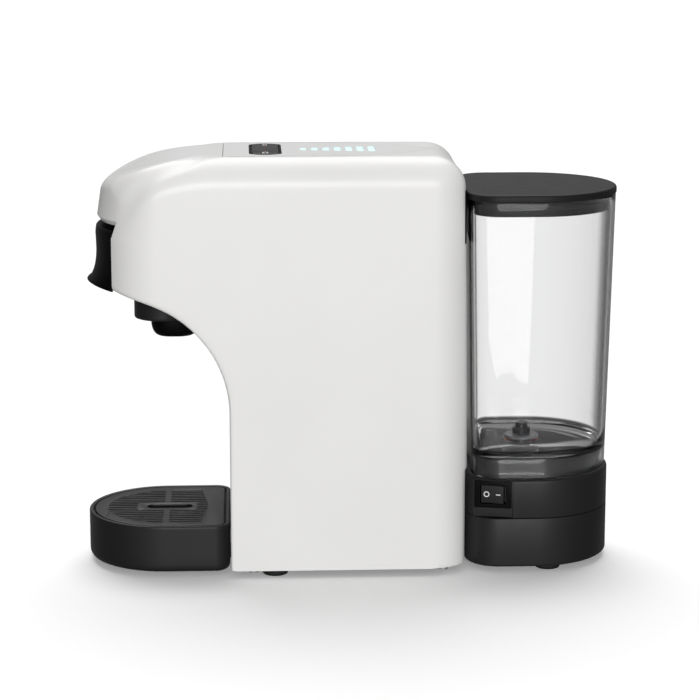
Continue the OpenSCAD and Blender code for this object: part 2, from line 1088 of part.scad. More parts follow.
module socket_seal() {
    color("#8f3a24")
        translate([0, valve_y, deck_z + riser_h - 3.3])
            difference() {
                cylinder(h = 2.6, r = 11.1);
                translate([0, 0, -1])
                    cylinder(h = 5, r = 9.2);
            }
}

// ---------- water tank ----------

// Tank body drawn in by g on every side, between two levels
module tank_form(g, z0, z1) {
    hull() {
        for (z = [z0, z1])
            translate([0, 0, z])
                linear_extrude(eps)
                    d_plan(tank_r(z) - g, tank_cy, tank_front(z) + g, tank_corner - g, $fn = 64);
    }
}

function tank_share(z) = (z - tank_z0) / (tank_z1 - tank_z0);
function tank_r(z) = foot_r + (rim_r - foot_r) * tank_share(z);
function tank_front(z) = tank_front_foot + (tank_front_top - tank_front_foot) * tank_share(z);

module tank() {
    color("#e8eef0", 0.5)
        difference() {
            tank_form(0, tank_z0, tank_z1);
            tank_form(tank_wall, floor_z + floor_t, tank_z1 + 1);
            tank_form(tank_wall, tank_z0 - 1, floor_z);
            translate([0, valve_y, 60])
                cylinder(h = 30, r = 5);
        }
}

module tank_lid() {
    color("#3b3c3e")
        difference() {
            union() {
                translate([0, 0, lid_z])
                    linear_extrude(lid_t)
                        d_plan(lid_r, lid_cy, lid_front, 19);
                translate([0, 0, lid_z - 9.2])
                    linear_extrude(9.3)
                        d_plan(rim_r - tank_wall - 0.9, tank_cy, tank_front_top + tank_wall + 0.9,
                            tank_corner - tank_wall);
            }
            translate([0, 0, lid_z - 10])
                linear_extrude(9.8)
                    d_plan(rim_r - tank_wall - 3, tank_cy, tank_front_top + tank_wall + 3,
                        tank_corner - 5);
            translate([0, 0, lid_z - 5])
                linear_extrude(2)
                    difference() {
                        d_plan(rim_r, tank_cy, tank_front_top, tank_corner);
                        d_plan(rim_r - tank_wall - 1.8, tank_cy, tank_front_top + tank_wall + 1.8,
                            tank_corner - 4);
                    }
        }
}

module lid_seal() {
    color("#9aa0a3")
        translate([0, 0, lid_z - 4.9])
            linear_extrude(1.8)
                difference() {
                    d_plan(rim_r - tank_wall - 0.5, tank_cy, tank_front_top + tank_wall + 0.5,
                        tank_corner - 3);
                    d_plan(rim_r - tank_wall - 1.75, tank_cy, tank_front_top + tank_wall + 1.75,
                        tank_corner - 4);
                }
}

module tank_valve() {
    color("#55585b")
        translate([0, valve_y, 0]) {
            translate([0, 0, floor_z - 5])
                cylinder(h = 9.6, r = 2.4);
            translate([0, 0, floor_z + floor_t + 2.2])
                cylinder(h = 3.6, r = 5.4);
            translate([0, 0, floor_z + floor_t + 5.7])
                cylinder(h = 3.2, r = 3.6);
        }
}

module valve_guide() {
    color("#c9cdd0")
        translate([0, valve_y, 0])
            difference() {
                union() {
                    translate([0, 0, floor_z + floor_t + 0.05])
                        cylinder(h = 1.6, r = 10.5);
                    translate([0, 0, floor_z - 1.5])
                        cylinder(h = 5, r = 4.95);
                }
                translate([0, 0, floor_z - 3])
                    cylinder(h = 12, r = 2.45);
            }
}

// ---------- drip tray ----------

module tray_plan(g) {
    corner = 9;
    intersection() {
        translate([0, tray_cy])
            circle(tray_r - g);
        translate([-tray_r, tray_cy - tray_r - 5])
            square([2 * tray_r, tray_r + 10]);
    }
    translate([-(tray_r - g), tray_cy])
        square([2 * (tray_r - g), tray_back - corner - tray_cy]);
    translate([-(tray_r - corner), tray_cy])
        square([2 * (tray_r - corner), tray_back - g - tray_cy]);
    for (s = [-1, 1])
        translate([s * (tray_r - corner), tray_back - corner])
            circle(corner - g);
}

module drip_bin() {
    color("#202124") {
        difference() {
            union() {
                translate([0, 0, tray_z + 2])
                    linear_extrude(tray_top - tray_z - 2)
                        tray_plan(0);
                translate([0, 0, tray_z])
                    linear_extrude(2.1)
                        tray_plan(1.4);
            }
            translate([0, 0, tray_z + tray_t])
                linear_extrude(40)
                    tray_plan(5.6);
            translate([0, 0, tray_top - grille_t - 0.3])
                linear_extrude(10)
                    tray_plan(3);
        }
        for (s = [-1, 1])
            translate([s * 34 - 3, tray_back - 1, tray_z + 6])
                cube([6, rail_len, 8]);
    }
}

// Cover plate with slots that run front to back, a cross bar and a finger slot
module drip_grille() {
    slot_pitch = (grille_r - 8) / grille_slots;
    color("#2a2b2d")
        difference() {
            translate([0, 0, tray_top - grille_t - 0.2])
                linear_extrude(grille_t)
                    tray_plan(3.4);
            for (s = [-1, 1])
                for (i = [0 : grille_slots - 1])
                    for (part = [-1, 1])
                        grille_slot(s * (i + 0.5) * slot_pitch, part, slot_pitch * 0.42);
            // finger slot
            translate([0, -111, tray_top - 10])
                linear_extrude(20)
                    round_rect(8.5, 28, 4.2);
        }
}

// One slot in front of (part = -1) or behind (part = 1) the cross bar
module grille_slot(x, part, w) {
    bar = 1.6;
    mid = tray_cy;
    reach = grille_r - 8;
    finger = abs(x) < 9 ? 18 : bar;
    front_end = mid - sqrt(max(reach * reach - x * x, 1));
    back_end = tray_back - 13 - abs(x) * 0.12;
    y0 = part < 0 ? front_end : mid + finger;
    y1 = part < 0 ? mid - finger : back_end;
    if (y1 - y0 > 3)
        translate([x - w / 2, y0, tray_top - 10])
            cube([w, y1 - y0, 20]);
}

housing();
bottom_plate();
plate_screws();
front_feet();
nose_inlay();
control_inlay();
level_bars();
button_bezel();
brew_button();
button_switch();
control_board();
power_board();
head_frame();
brew_head();
piston();
piston_seal();
drawer_front();
drawer_frame();
pod_holder();
outlet_collar();
spout();
boiler();
boiler_straps();
thermostat();
inner_frame();
pump_body();
pump_coil();
pump_mounts();
flow_meter();
suction_hose();
meter_hose();
pressure_hose();
brew_hose();
tank_dock();
base_lower();
base_upper();
base_screws();
rear_feet();
switch_panel();
switch_frame();
power_rocker();
switch_body();
mains_gland();
valve_socket();
socket_seal();
tank();
tank_lid();
lid_seal();
tank_valve();
valve_guide();
drip_bin();
drip_grille();
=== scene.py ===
"""Pod coffee machine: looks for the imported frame.

Shapes are written in millimetres in the shared frame and scaled to metres when a mesh is made.
"""
import json
import math

import bmesh
import bpy
import numpy as np
from mathutils import Matrix, Vector


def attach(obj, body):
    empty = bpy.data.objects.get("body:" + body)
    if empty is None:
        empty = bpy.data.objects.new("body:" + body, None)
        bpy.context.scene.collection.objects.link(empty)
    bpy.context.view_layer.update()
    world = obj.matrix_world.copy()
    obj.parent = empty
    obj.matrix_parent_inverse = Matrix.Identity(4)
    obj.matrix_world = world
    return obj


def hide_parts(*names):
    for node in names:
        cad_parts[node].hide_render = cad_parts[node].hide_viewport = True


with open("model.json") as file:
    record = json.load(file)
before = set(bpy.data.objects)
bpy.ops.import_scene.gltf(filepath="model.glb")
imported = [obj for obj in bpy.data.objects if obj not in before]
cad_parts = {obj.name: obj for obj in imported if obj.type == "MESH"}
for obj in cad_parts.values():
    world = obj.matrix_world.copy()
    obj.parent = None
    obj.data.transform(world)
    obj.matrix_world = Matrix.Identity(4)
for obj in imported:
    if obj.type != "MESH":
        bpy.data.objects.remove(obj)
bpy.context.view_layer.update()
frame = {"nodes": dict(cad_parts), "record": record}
NODES = frame["nodes"]
MM = 0.001

# ---------------------------------------------------------------- camera

CAMERA_AT = (1.4162, -0.0648, 0.4297)
CAMERA_AZIMUTH = 87.39     # degrees; 90 looks along -X
CAMERA_PITCH = 12.01       # degrees below the horizon
CAMERA_LENS = 122.6        # mm on a 36 mm sensor


def add_camera():
    """The camera of the main view."""
    data = bpy.data.cameras.new("camera")
    data.lens = CAMERA_LENS
    data.sensor_width = 36.0
    data.clip_start = 0.05
    data.clip_end = 100.0
    cam = bpy.data.objects.new("camera", data)
    bpy.context.scene.collection.objects.link(cam)
    cam.location = CAMERA_AT
    cam.rotation_euler = (math.radians(90 - CAMERA_PITCH), 0, math.radians(CAMERA_AZIMUTH))
    bpy.context.scene.camera = cam


# ---------------------------------------------------------------- mesh helpers

def link(obj):
    """Puts an object in the scene and returns it."""
    bpy.context.scene.collection.objects.link(obj)
    return obj


def smooth(obj, angle=30.0):
    """Smooth shading with edges sharper than angle kept sharp."""
    obj.data.shade_smooth()
    obj.data.set_sharp_from_angle(angle=math.radians(angle))


def mesh_object(name, verts, faces, angle=30.0):
    """Object from points in millimetres, with its faces turned outwards."""
    mesh = bpy.data.meshes.new(name)
    mesh.from_pydata((np.asarray(verts, float) * MM).tolist(), [], [tuple(f) for f in faces])
    mesh.validate()
    bm = bmesh.new()
    bm.from_mesh(mesh)
    bmesh.ops.recalc_face_normals(bm, faces=bm.faces)
    bm.to_mesh(mesh)
    bm.free()
    obj = link(bpy.data.objects.new(name, mesh))
    smooth(obj, angle)
    return obj


def apply_modifiers(obj):
    """Replaces the mesh by the result of its modifiers."""
    deps = bpy.context.evaluated_depsgraph_get()
    new = bpy.data.meshes.new_from_object(obj.evaluated_get(deps))
    old = obj.data
    obj.modifiers.clear()
    obj.data = new
    new.name = obj.name
    bpy.data.meshes.remove(old)


def boolean(obj, tools, operation="DIFFERENCE", angle=30.0):
    """Cuts obj with the tool objects, or joins them to it, and removes the tools."""
    for tool in tools:
        mod = obj.modifiers.new("boolean", "BOOLEAN")
        mod.operation = operation
        mod.solver = "MANIFOLD"
        mod.object = tool
    apply_modifiers(obj)
    for tool in tools:
        mesh = tool.data
        bpy.data.objects.remove(tool)
        bpy.data.meshes.remove(mesh)
    smooth(obj, angle)
    return obj


def bevel(obj, width, segments=3, angle=35.0):
    """Rounds the edges of obj that are sharper than angle; width is in millimetres."""
    mod = obj.modifiers.new("bevel", "BEVEL")
    mod.width = width * MM
    mod.segments = segments
    mod.limit_method = "ANGLE"
    mod.angle_limit = math.radians(angle)
    apply_modifiers(obj)
    smooth(obj, 40)
    return obj


def loft(name, rings, closed=False, angle=30.0):
    """Skin over rings of equally many points, with capped ends, or closed into a loop."""
    n = len(rings[0])
    verts = np.vstack([np.asarray(r, float) for r in rings])
    faces = []
    count = len(rings)
    for i in range(count if closed else count - 1):
        a = i * n
        b = ((i + 1) % count) * n
        for j in range(n):
            k = (j + 1) % n
            faces.append((a + j, a + k, b + k, b + j))
    if not closed:
        faces.append(tuple(range(n - 1, -1, -1)))
        faces.append(tuple(range((count - 1) * n, count * n)))
    return mesh_object(name, verts, faces, angle)


def ring_at(outline, z):
    """A flat outline lifted to height z."""
    pts = np.asarray(outline, float)
    return np.column_stack([pts, np.full(len(pts), z)])


def prism(name, outline, z0, z1):
    """Upright solid over a flat outline."""
    return loft(name, [ring_at(outline, z0), ring_at(outline, z1)])


def block(name, lo, hi):
    """Box between two corners."""
    x0, y0, z0 = lo
    x1, y1, z1 = hi
    return prism(name, [(x0, y0), (x1, y0), (x1, y1), (x0, y1)], z0, z1)


def circle(cx, cy, r, n=64):
    """Outline of n points round a circle."""
    a = np.arange(n) * 2 * math.pi / n
    return np.column_stack([cx + r * np.cos(a), cy + r * np.sin(a)])


def turned(name, cx, cy, profile, n=96):
    """Solid of revolution about a vertical line, from a list of (radius, z)."""
    return loft(name, [ring_at(circle(cx, cy, r, n), z) for r, z in profile])


def arc(cx, cy, r, a0, a1, n):
    """n + 1 points from angle a0 to a1, in degrees."""
    a = np.radians(np.linspace(a0, a1, n + 1))
    return np.column_stack([cx + r * np.cos(a), cy + r * np.sin(a)])


def edge_round(r, steps=5):
    """(inset, drop) pairs that go round a quarter circle of radius r, from the side to the top."""
    a = np.linspace(0, math.pi / 2, steps + 1)
    return [(r * (1 - math.cos(t)), r * (1 - math.sin(t))) for t in a]


def d_outline(r, cy, front, corner, n=56, nc=14):
    """D seen from above: round back, straight front with round corners."""
    right = arc(r - corner, front + corner, corner, -90, 0, nc)
    side = np.column_stack([np.full(3, r), np.linspace(front + corner, cy, 5)[1:-1]])
    back = arc(0, cy, r, 0, 180, n)
    left_side = np.column_stack([np.full(3, -r), np.linspace(cy, front + corner, 5)[1:-1]])
    left = arc(-(r - corner), front + corner, corner, 180, 270, nc)
    front_line = np.column_stack([np.linspace(-(r - corner), r - corner, 9)[1:-1],
                                  np.full(7, front)])
    return np.vstack([right, side, back, left_side, left, front_line])


# ---------------------------------------------------------------- materials

def linear(*srgb):
    """Display colour, 0 to 255, to linear."""
    out = []
    for c in srgb:
        c /= 255.0
        out.append(c / 12.92 if c <= 0.04045 else ((c + 0.055) / 1.055) ** 2.4)
    return tuple(out)


class Nodes:
    """Helper round a node tree, which it empties first."""

    def __init__(self, tree):
        self.tree = tree
        tree.nodes.clear()

    def node(self, kind, **values):
        """New node with these attributes."""
        n = self.tree.nodes.new(kind)
        for key, value in values.items():
            setattr(n, key, value)
        return n

    def join(self, a, out, b, into):
        """Links an output of node a to an input of node b."""
        self.tree.links.new(a.outputs[out], b.inputs[into])

    def span(self, source, out, lo, hi, to_lo, to_hi, **values):
        """Node that maps the range lo to hi on to another range."""
        m = self.node("ShaderNodeMapRange", **values)
        for key, value in zip(("From Min", "From Max", "To Min", "To Max"), (lo, hi, to_lo, to_hi)):
            m.inputs[key].default_value = value
        self.join(source, out, m, "Value")
        return m


class Shader(Nodes):
    """The nodes of one material."""

    def __init__(self, name):
        self.mat = bpy.data.materials.new(name)
        self.mat.use_nodes = True
        super().__init__(self.mat.node_tree)
        self.out = self.node("ShaderNodeOutputMaterial")
        self.bsdf = self.node("ShaderNodeBsdfPrincipled")
        self.join(self.bsdf, "BSDF", self.out, "Surface")
        self.coords = self.node("ShaderNodeTexCoord")

    def put(self, **values):
        """Sets inputs of the main shader; an underscore in a name stands for a space."""
        for key, value in values.items():
            self.bsdf.inputs[key.replace("_", " ")].default_value = value

    def relief(self, source, strength):
        """Fine height detail from a texture."""
        bump = self.node("ShaderNodeBump")
        bump.inputs["Strength"].default_value = strength
        bump.inputs["Distance"].default_value = 0.0002
        self.join(source, "Fac", bump, "Height")
        self.join(bump, "Normal", self.bsdf, "Normal")

    def noise(self, scale, detail, rough=0.5):
        """Noise texture in the object's own space."""
        n = self.node("ShaderNodeTexNoise")
        n.inputs["Scale"].default_value = scale
        n.inputs["Detail"].default_value = detail
        n.inputs["Roughness"].default_value = rough
        self.join(self.coords, "Object", n, "Vector")
        return n

    def blend(self, factor, out, a, b):
        """Node that mixes a and b, each a colour or a blend."""
        m = self.node("ShaderNodeMix", data_type="RGBA")
        for key, value in ((6, a), (7, b)):
            if isinstance(value, tuple):
                m.inputs[key].default_value = (*value, 1)
            else:
                self.join(value, 2, m, key)
        self.join(factor, out, m, 0)
        return m


def moulded(name, colour, rough, vary=0.05, grain=2600.0, bump=0.06, coat=0.0, wear=0.25,
            specular=0.5):
    """Moulded plastic or rubber: slow colour drift, fine grain and pale edges."""
    s = Shader(name)
    dark = tuple(c * (1 - vary) for c in colour)
    pale = tuple(min(1.0, c * (1 + vary)) for c in colour)
    drift = s.span(s.noise(14.0, 2.0), "Fac", 0.35, 0.65, 0, 1)
    base = s.blend(drift, "Result", dark, pale)
    geo = s.node("ShaderNodeNewGeometry")
    edge = s.span(geo, "Pointiness", 0.53, 0.6, 0, wear)
    worn = tuple(min(1.0, c * 1.25 + 0.02) for c in colour)
    edged = s.blend(edge, "Result", base, worn)
    s.join(edged, 2, s.bsdf, "Base Color")
    fine = s.noise(grain, 2.0)
    smudge = s.noise(45.0, 4.0, 0.6)
    mixed = s.node("ShaderNodeMath", operation="ADD")
    s.join(fine, "Fac", mixed, 0)
    s.join(smudge, "Fac", mixed, 1)
    rough_map = s.span(mixed, "Value", 0.6, 1.4, rough - 0.06, rough + 0.06)
    s.join(rough_map, "Result", s.bsdf, "Roughness")
    s.relief(fine, bump)
    s.put(Specular_IOR_Level=specular, Coat_Weight=coat, Coat_Roughness=0.12)
    return s.mat


def metal(name, colour, rough, scratch=900.0, stretch=(1, 1, 0.04)):
    """Metal with fine brushed lines in roughness and height."""
    s = Shader(name)
    drift = s.span(s.noise(20.0, 3.0), "Fac", 0.35, 0.65, 0, 1)
    base = s.blend(drift, "Result", tuple(c * 0.9 for c in colour), colour)
    s.join(base, 2, s.bsdf, "Base Color")
    s.put(Metallic=1.0)
    mapping = s.node("ShaderNodeMapping")
    mapping.inputs["Scale"].default_value = stretch
    s.join(s.coords, "Object", mapping, "Vector")
    lines = s.node("ShaderNodeTexNoise")
    lines.inputs["Scale"].default_value = scratch
    lines.inputs["Detail"].default_value = 4.0
    s.join(mapping, "Vector", lines, "Vector")
    rough_map = s.span(lines, "Fac", 0.3, 0.7, rough * 0.8, min(1.0, rough * 1.25))
    s.join(rough_map, "Result", s.bsdf, "Roughness")
    s.relief(lines, 0.08)
    return s.mat


# (how far a wall is turned away, grey): painted shade, how dark a wall of clear plastic is made as
# it turns edge-on, in place of the dark refraction there
PAINTED_EDGE_SHADE = ((0.06, 0.90), (0.2, 0.87), (0.45, 0.80), (0.57, 0.22), (0.75, 0.04))
PAINTED_EDGE_ON_SHADE = 0.02            # painted shade for a wall seen exactly edge-on
PAINTED_RIM_SHADE = 0.06            # painted shade of the dark band at the rim of the floor
PAINTED_RIM_BAND = (0.0695, 0.0705, 0.0742, 0.0752)    # heights in metres where the painted rim shade fades in and out
CLEAR_IOR = 1.3


def clear(name, tint, shadow):
    """Clear moulded plastic. Upright walls get painted shade where they are seen edge-on, and a
    painted dark band at the rim of the floor, where the wall is thick; both stand in for the
    darkness that refraction gives there."""
    s = Shader(name)
    facing = s.node("ShaderNodeLayerWeight")
    facing.inputs["Blend"].default_value = 0.5
    # painted shade: the wall's colour darkens as it turns edge-on
    ramp = s.node("ShaderNodeValToRGB")
    points = ramp.color_ramp.elements
    points[0].position, points[0].color = 0.0, (*tint, 1)
    points[1].position, points[1].color = 1.0, (PAINTED_EDGE_ON_SHADE, PAINTED_EDGE_ON_SHADE, PAINTED_EDGE_ON_SHADE, 1)
    for place, grey in PAINTED_EDGE_SHADE:
        points.new(place).color = (grey, grey, grey, 1)
    s.join(facing, "Facing", ramp, "Fac")
    geo = s.node("ShaderNodeNewGeometry")
    parts = s.node("ShaderNodeSeparateXYZ")
    s.join(geo, "Normal", parts, 0)
    size = s.node("ShaderNodeMath", operation="ABSOLUTE")
    s.join(parts, "Z", size, 0)
    level = s.span(size, "Value", 0.75, 0.95, 0, 1)
    # painted shade: a dark band at the rim of the floor, between two heights
    own = s.node("ShaderNodeSeparateXYZ")
    s.join(s.coords, "Object", own, 0)
    above = s.span(own, "Z", PAINTED_RIM_BAND[0], PAINTED_RIM_BAND[1], 0, 1)
    below = s.span(own, "Z", PAINTED_RIM_BAND[3], PAINTED_RIM_BAND[2], 0, 1)
    painted_rim_mask = s.node("ShaderNodeMath", operation="MULTIPLY")
    s.join(above, "Result", painted_rim_mask, 0)
    s.join(below, "Result", painted_rim_mask, 1)
    wall = s.blend(painted_rim_mask, "Value", (0, 0, 0), (PAINTED_RIM_SHADE, PAINTED_RIM_SHADE, PAINTED_RIM_SHADE))
    s.join(ramp, "Color", wall, 6)
    shade = s.blend(level, "Result", wall, tint)
    s.join(shade, 2, s.bsdf, "Base Color")
    s.put(Transmission_Weight=1.0, IOR=CLEAR_IOR, Specular_Tint=(0.45, 0.45, 0.45, 1))
    wave = s.noise(25.0, 1.0)
    rough = s.span(wave, "Fac", 0.3, 0.7, 0.0, 0.008)
    s.join(rough, "Result", s.bsdf, "Roughness")
    path = s.node("ShaderNodeLightPath")
    see = s.node("ShaderNodeBsdfTransparent")
    see.inputs["Color"].default_value = (*shadow, 1)
    mix = s.node("ShaderNodeMixShader")
    s.join(path, "Is Shadow Ray", mix, 0)
    s.join(s.bsdf, 0, mix, 1)
    s.join(see, 0, mix, 2)
    s.join(mix, 0, s.out, "Surface")
    return s.mat


def paint(name, colour, rough=0.45, glow=0.0):
    """Printed mark or lit window."""
    s = Shader(name)
    drift = s.span(s.noise(300.0, 2.0), "Fac", 0.3, 0.7, 0, 1)
    base = s.blend(drift, "Result", tuple(c * 0.94 for c in colour), colour)
    s.join(base, 2, s.bsdf, "Base Color")
    rough_map = s.span(s.noise(800.0, 2.0), "Fac", 0.3, 0.7, rough - 0.05, rough + 0.05)
    s.join(rough_map, "Result", s.bsdf, "Roughness")
    if glow:
        s.put(Emission_Color=(*colour, 1), Emission_Strength=glow)
    return s.mat


def make_materials():
    """Every material, under the name of its slot or of the pieces that it is for."""
    made = {}

    def add(kind, name, *values, **options):
        made[name] = kind(name, *values, **options)

    add(moulded, "white_shell", (0.82, 0.815, 0.80), 0.38, vary=0.012, grain=3000.0, bump=0.03,
        wear=0.1, specular=0.45)
    add(moulded, "panel_grey", (0.75, 0.75, 0.745), 0.42, vary=0.015, bump=0.03, wear=0.1,
        specular=0.4)
    add(moulded, "black_satin", (0.002, 0.002, 0.0022), 0.42, vary=0.2, bump=0.04, specular=0.07,
        wear=0.1)
    add(moulded, "charcoal", (0.0145, 0.0145, 0.015), 0.42, vary=0.1, bump=0.05, specular=0.24,
        wear=0.15)
    add(moulded, "lid_black", (0.013, 0.013, 0.0135), 0.45, vary=0.1, bump=0.05, specular=0.13,
        wear=0.1)
    add(moulded, "charcoal_tray", (0.013, 0.013, 0.0135), 0.4, vary=0.1, bump=0.05, specular=0.24,
        wear=0.15)
    add(moulded, "button_gloss", (0.011, 0.011, 0.012), 0.25, vary=0.05, bump=0.01, specular=0.25)
    add(moulded, "inner_plastic", (0.04, 0.042, 0.045), 0.5, vary=0.1)
    add(moulded, "pale_plastic", (0.58, 0.54, 0.46), 0.5, vary=0.06)
    add(moulded, "rubber_black", (0.008, 0.008, 0.008), 0.7, vary=0.2, bump=0.15, specular=0.3)
    add(moulded, "silicone", (0.55, 0.58, 0.6), 0.4, vary=0.06, bump=0.03, coat=0.2)
    add(moulded, "silicone_clear", (0.10, 0.10, 0.105), 0.3, vary=0.1, bump=0.02)
    add(moulded, "seal_red", (0.3, 0.05, 0.025), 0.5, vary=0.1)
    add(moulded, "coil_blue", (0.03, 0.035, 0.09), 0.3, vary=0.1, coat=0.5)
    add(moulded, "board_green", (0.02, 0.12, 0.05), 0.3, vary=0.12, coat=0.4)
    add(metal, "cast_aluminium", (0.62, 0.63, 0.65), 0.38, 700.0, (1, 1, 1))
    add(metal, "steel", (0.5, 0.5, 0.51), 0.3)
    add(clear, "clear_tank", (0.91, 0.912, 0.912), (0.93, 0.93, 0.93))
    add(paint, "lit_bars", linear(222, 250, 250), 0.3, 0.35)
    add(paint, "white_mark", (0.8, 0.8, 0.79))
    add(paint, "red_mark", (0.5, 0.02, 0.01))
    return made


def put(obj, material, body, *replaced, slot=None):
    """Gives a new piece its material and body, and hides the CAD nodes it stands for; slot is not
    used.
    """
    obj.data.materials.clear()
    obj.data.materials.append(MATS[material])
    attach(obj, body)
    if replaced:
        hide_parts(*replaced)


# ---------------------------------------------------------------- housing surface

# The outline seen from above: a nose arc, two corner arcs, straight sides and round rear corners
HALF, TOP, WALL = 50.0, 251.0, 2.4
NOSE_CY, NOSE_R, NOSE_SIDE_R = -92.0, 61.0, 34.0
NOSE_SIDE_X = HALF - NOSE_SIDE_R
NOSE_SIDE_Y = NOSE_CY - math.sqrt((NOSE_R - NOSE_SIDE_R) ** 2 - NOSE_SIDE_X ** 2)
BACK_R, REAR_EDGE = 24.0, 70.4
SLOPE_Y, SLOPE_R = -80.0, 135.0
SLOPE_Z = TOP - SLOPE_R
COLUMN_Y, ARCH_R, ARCH_CZ = -73.5, 70.0, 100.0
ARCH_CY = COLUMN_Y - ARCH_R
UNDER_A = math.atan(0.3)
UNDER_Y = ARCH_CY + ARCH_R * math.sin(UNDER_A)
UNDER_Z = ARCH_CZ + ARCH_R * math.cos(UNDER_A)
BOTTOM_Z, DECK_Z = 4.2, 58.0
SHOULDER_R, REAR_TOP_EXTRA, NOSE_EDGE_R = 17.0, 3.0, 3.2
REAR_BLEND, BAY_BLEND = 3.0, 2.2
# The soft crease beside the nose: four points that frame its curve, its depth and its width
CREASE = np.array([(34, -85, 251), (43, -108, 250), (52, -140, 231), (40, -138, 209)], float)
CREASE_DEPTH, CREASE_WIDTH = 2.9, 6.0


def step(x, a, b):
    """Smooth rise from 0 at a to 1 at b."""
    t = np.clip((x - a) / (b - a), 0, 1)
    return t * t * (3 - 2 * t)


def smooth_max(a, b, k):
    """Larger of two fields, with the crease between them blended over about k."""
    h = np.clip(0.5 + 0.5 * (a - b) / k, 0, 1)
    return b + (a - b) * h + k * h * (1 - h)


def round_max(a, b, r):
    """Larger of two distances, with the outer crease rounded to radius r."""
    u = np.maximum(a + r, 0)
    v = np.maximum(b + r, 0)
    return np.minimum(np.maximum(a + r, b + r), 0) - r + np.hypot(u, v)


def plan_field(x, y):
    """Distance to the outline seen from above."""
    ax = np.abs(x)
    cy = REAR_EDGE - BACK_R
    back = np.where(ax > HALF - BACK_R, np.hypot(ax - (HALF - BACK_R), y - cy) - BACK_R,
                    y - REAR_EDGE)
    d = np.where(y > cy, back, ax - HALF)
    side = np.hypot(ax - NOSE_SIDE_X, y - NOSE_SIDE_Y) - NOSE_SIDE_R
    nose = np.hypot(ax, y - NOSE_CY) - NOSE_R
    in_nose = ax * (NOSE_CY - NOSE_SIDE_Y) < NOSE_SIDE_X * (NOSE_CY - y)
    return np.where(y < NOSE_SIDE_Y, np.where(in_nose, nose, side), d)


def top_field(y, z):
    """Distance to the top, which is flat and then curves down towards the nose."""
    slope = np.hypot(y - SLOPE_Y, z - SLOPE_Z) + SLOPE_Z
    return np.where((y < SLOPE_Y) & (z > SLOPE_Z), slope, z) - TOP


def rear_field(y, z):
    """Distance to the rear, which leans forward a little above the deck of the base."""
    return np.where(z < DECK_Z + 4, y - 67.8, (y - 69.2) + (z - 62) * 0.01772)


def bay_field(y, z):
    """Distance to the bay under the head, positive outside it."""
    dy, dz = y - ARCH_CY, z - ARCH_CZ
    g = np.where(dz < 0, y - COLUMN_Y, np.hypot(dy, dz) - ARCH_R)
    s, c = math.sin(UNDER_A), math.cos(UNDER_A)
    front = (dy * c - dz * s < 0) & (dz >= 0)
    return np.where(front, (y - UNDER_Y) * s + (z - UNDER_Z) * c, g)


def crease_line():
    """Points along the soft crease: the cubic curve that CREASE frames."""
    t = np.linspace(0, 1, 13)[:, None]
    a, b, c, d = CREASE
    return (1 - t) ** 3 * a + 3 * (1 - t) ** 2 * t * b + 3 * (1 - t) * t * t * c + t ** 3 * d


CREASE_POINTS = crease_line()


def crease_field(x, y, z):
    """How near a point is to the soft crease down each side of the nose, 0 to 1."""
    out = np.zeros_like(x)
    near = (y < -74) & (z > 196) & (np.abs(x) > 20)
    if not near.any():
        return out
    p = np.stack([np.abs(x[near]), y[near], z[near]], axis=-1)
    best = np.full(len(p), 1e9)
    fade = np.zeros(len(p))
    for i in range(len(CREASE_POINTS) - 1):
        a, b = CREASE_POINTS[i], CREASE_POINTS[i + 1]
        t = np.clip((p - a) @ (b - a) / ((b - a) @ (b - a)), 0, 1)
        d = np.linalg.norm(p - a - t[:, None] * (b - a), axis=1)
        along = (i + t) / (len(CREASE_POINTS) - 1)
        fade = np.where(d < best, step(along, -0.1, 0.25) * (1 - step(along, 0.55, 1.0)), fade)
        best = np.minimum(best, d)
    out[near] = fade * np.exp(-(best / CREASE_WIDTH) ** 2)
    return out


def form_field(x, y, z):
    """Signed distance to the outside of the housing, without its flat bottom."""
    lean = 0.15 * np.maximum(z - 203.0, 0) * step(-y, 110, 140)
    plan = plan_field(x, y - lean)
    across = step(np.abs(x), 26, 46)
    front = step(-y, 105, 150)
    rear_r = SHOULDER_R + REAR_TOP_EXTRA * (1 - across) * step(y, 20, 60)
    middle_r = SHOULDER_R * (1 - front) + NOSE_EDGE_R * front
    front_r = SHOULDER_R * across + (1 - across) * middle_r
    body = smooth_max(plan, rear_field(y, z), REAR_BLEND)
    f = round_max(body, top_field(y, z), np.where(y > 0, rear_r, front_r))
    f = f + CREASE_DEPTH * crease_field(x, y, z)
    return smooth_max(f, -bay_field(y, z), BAY_BLEND)


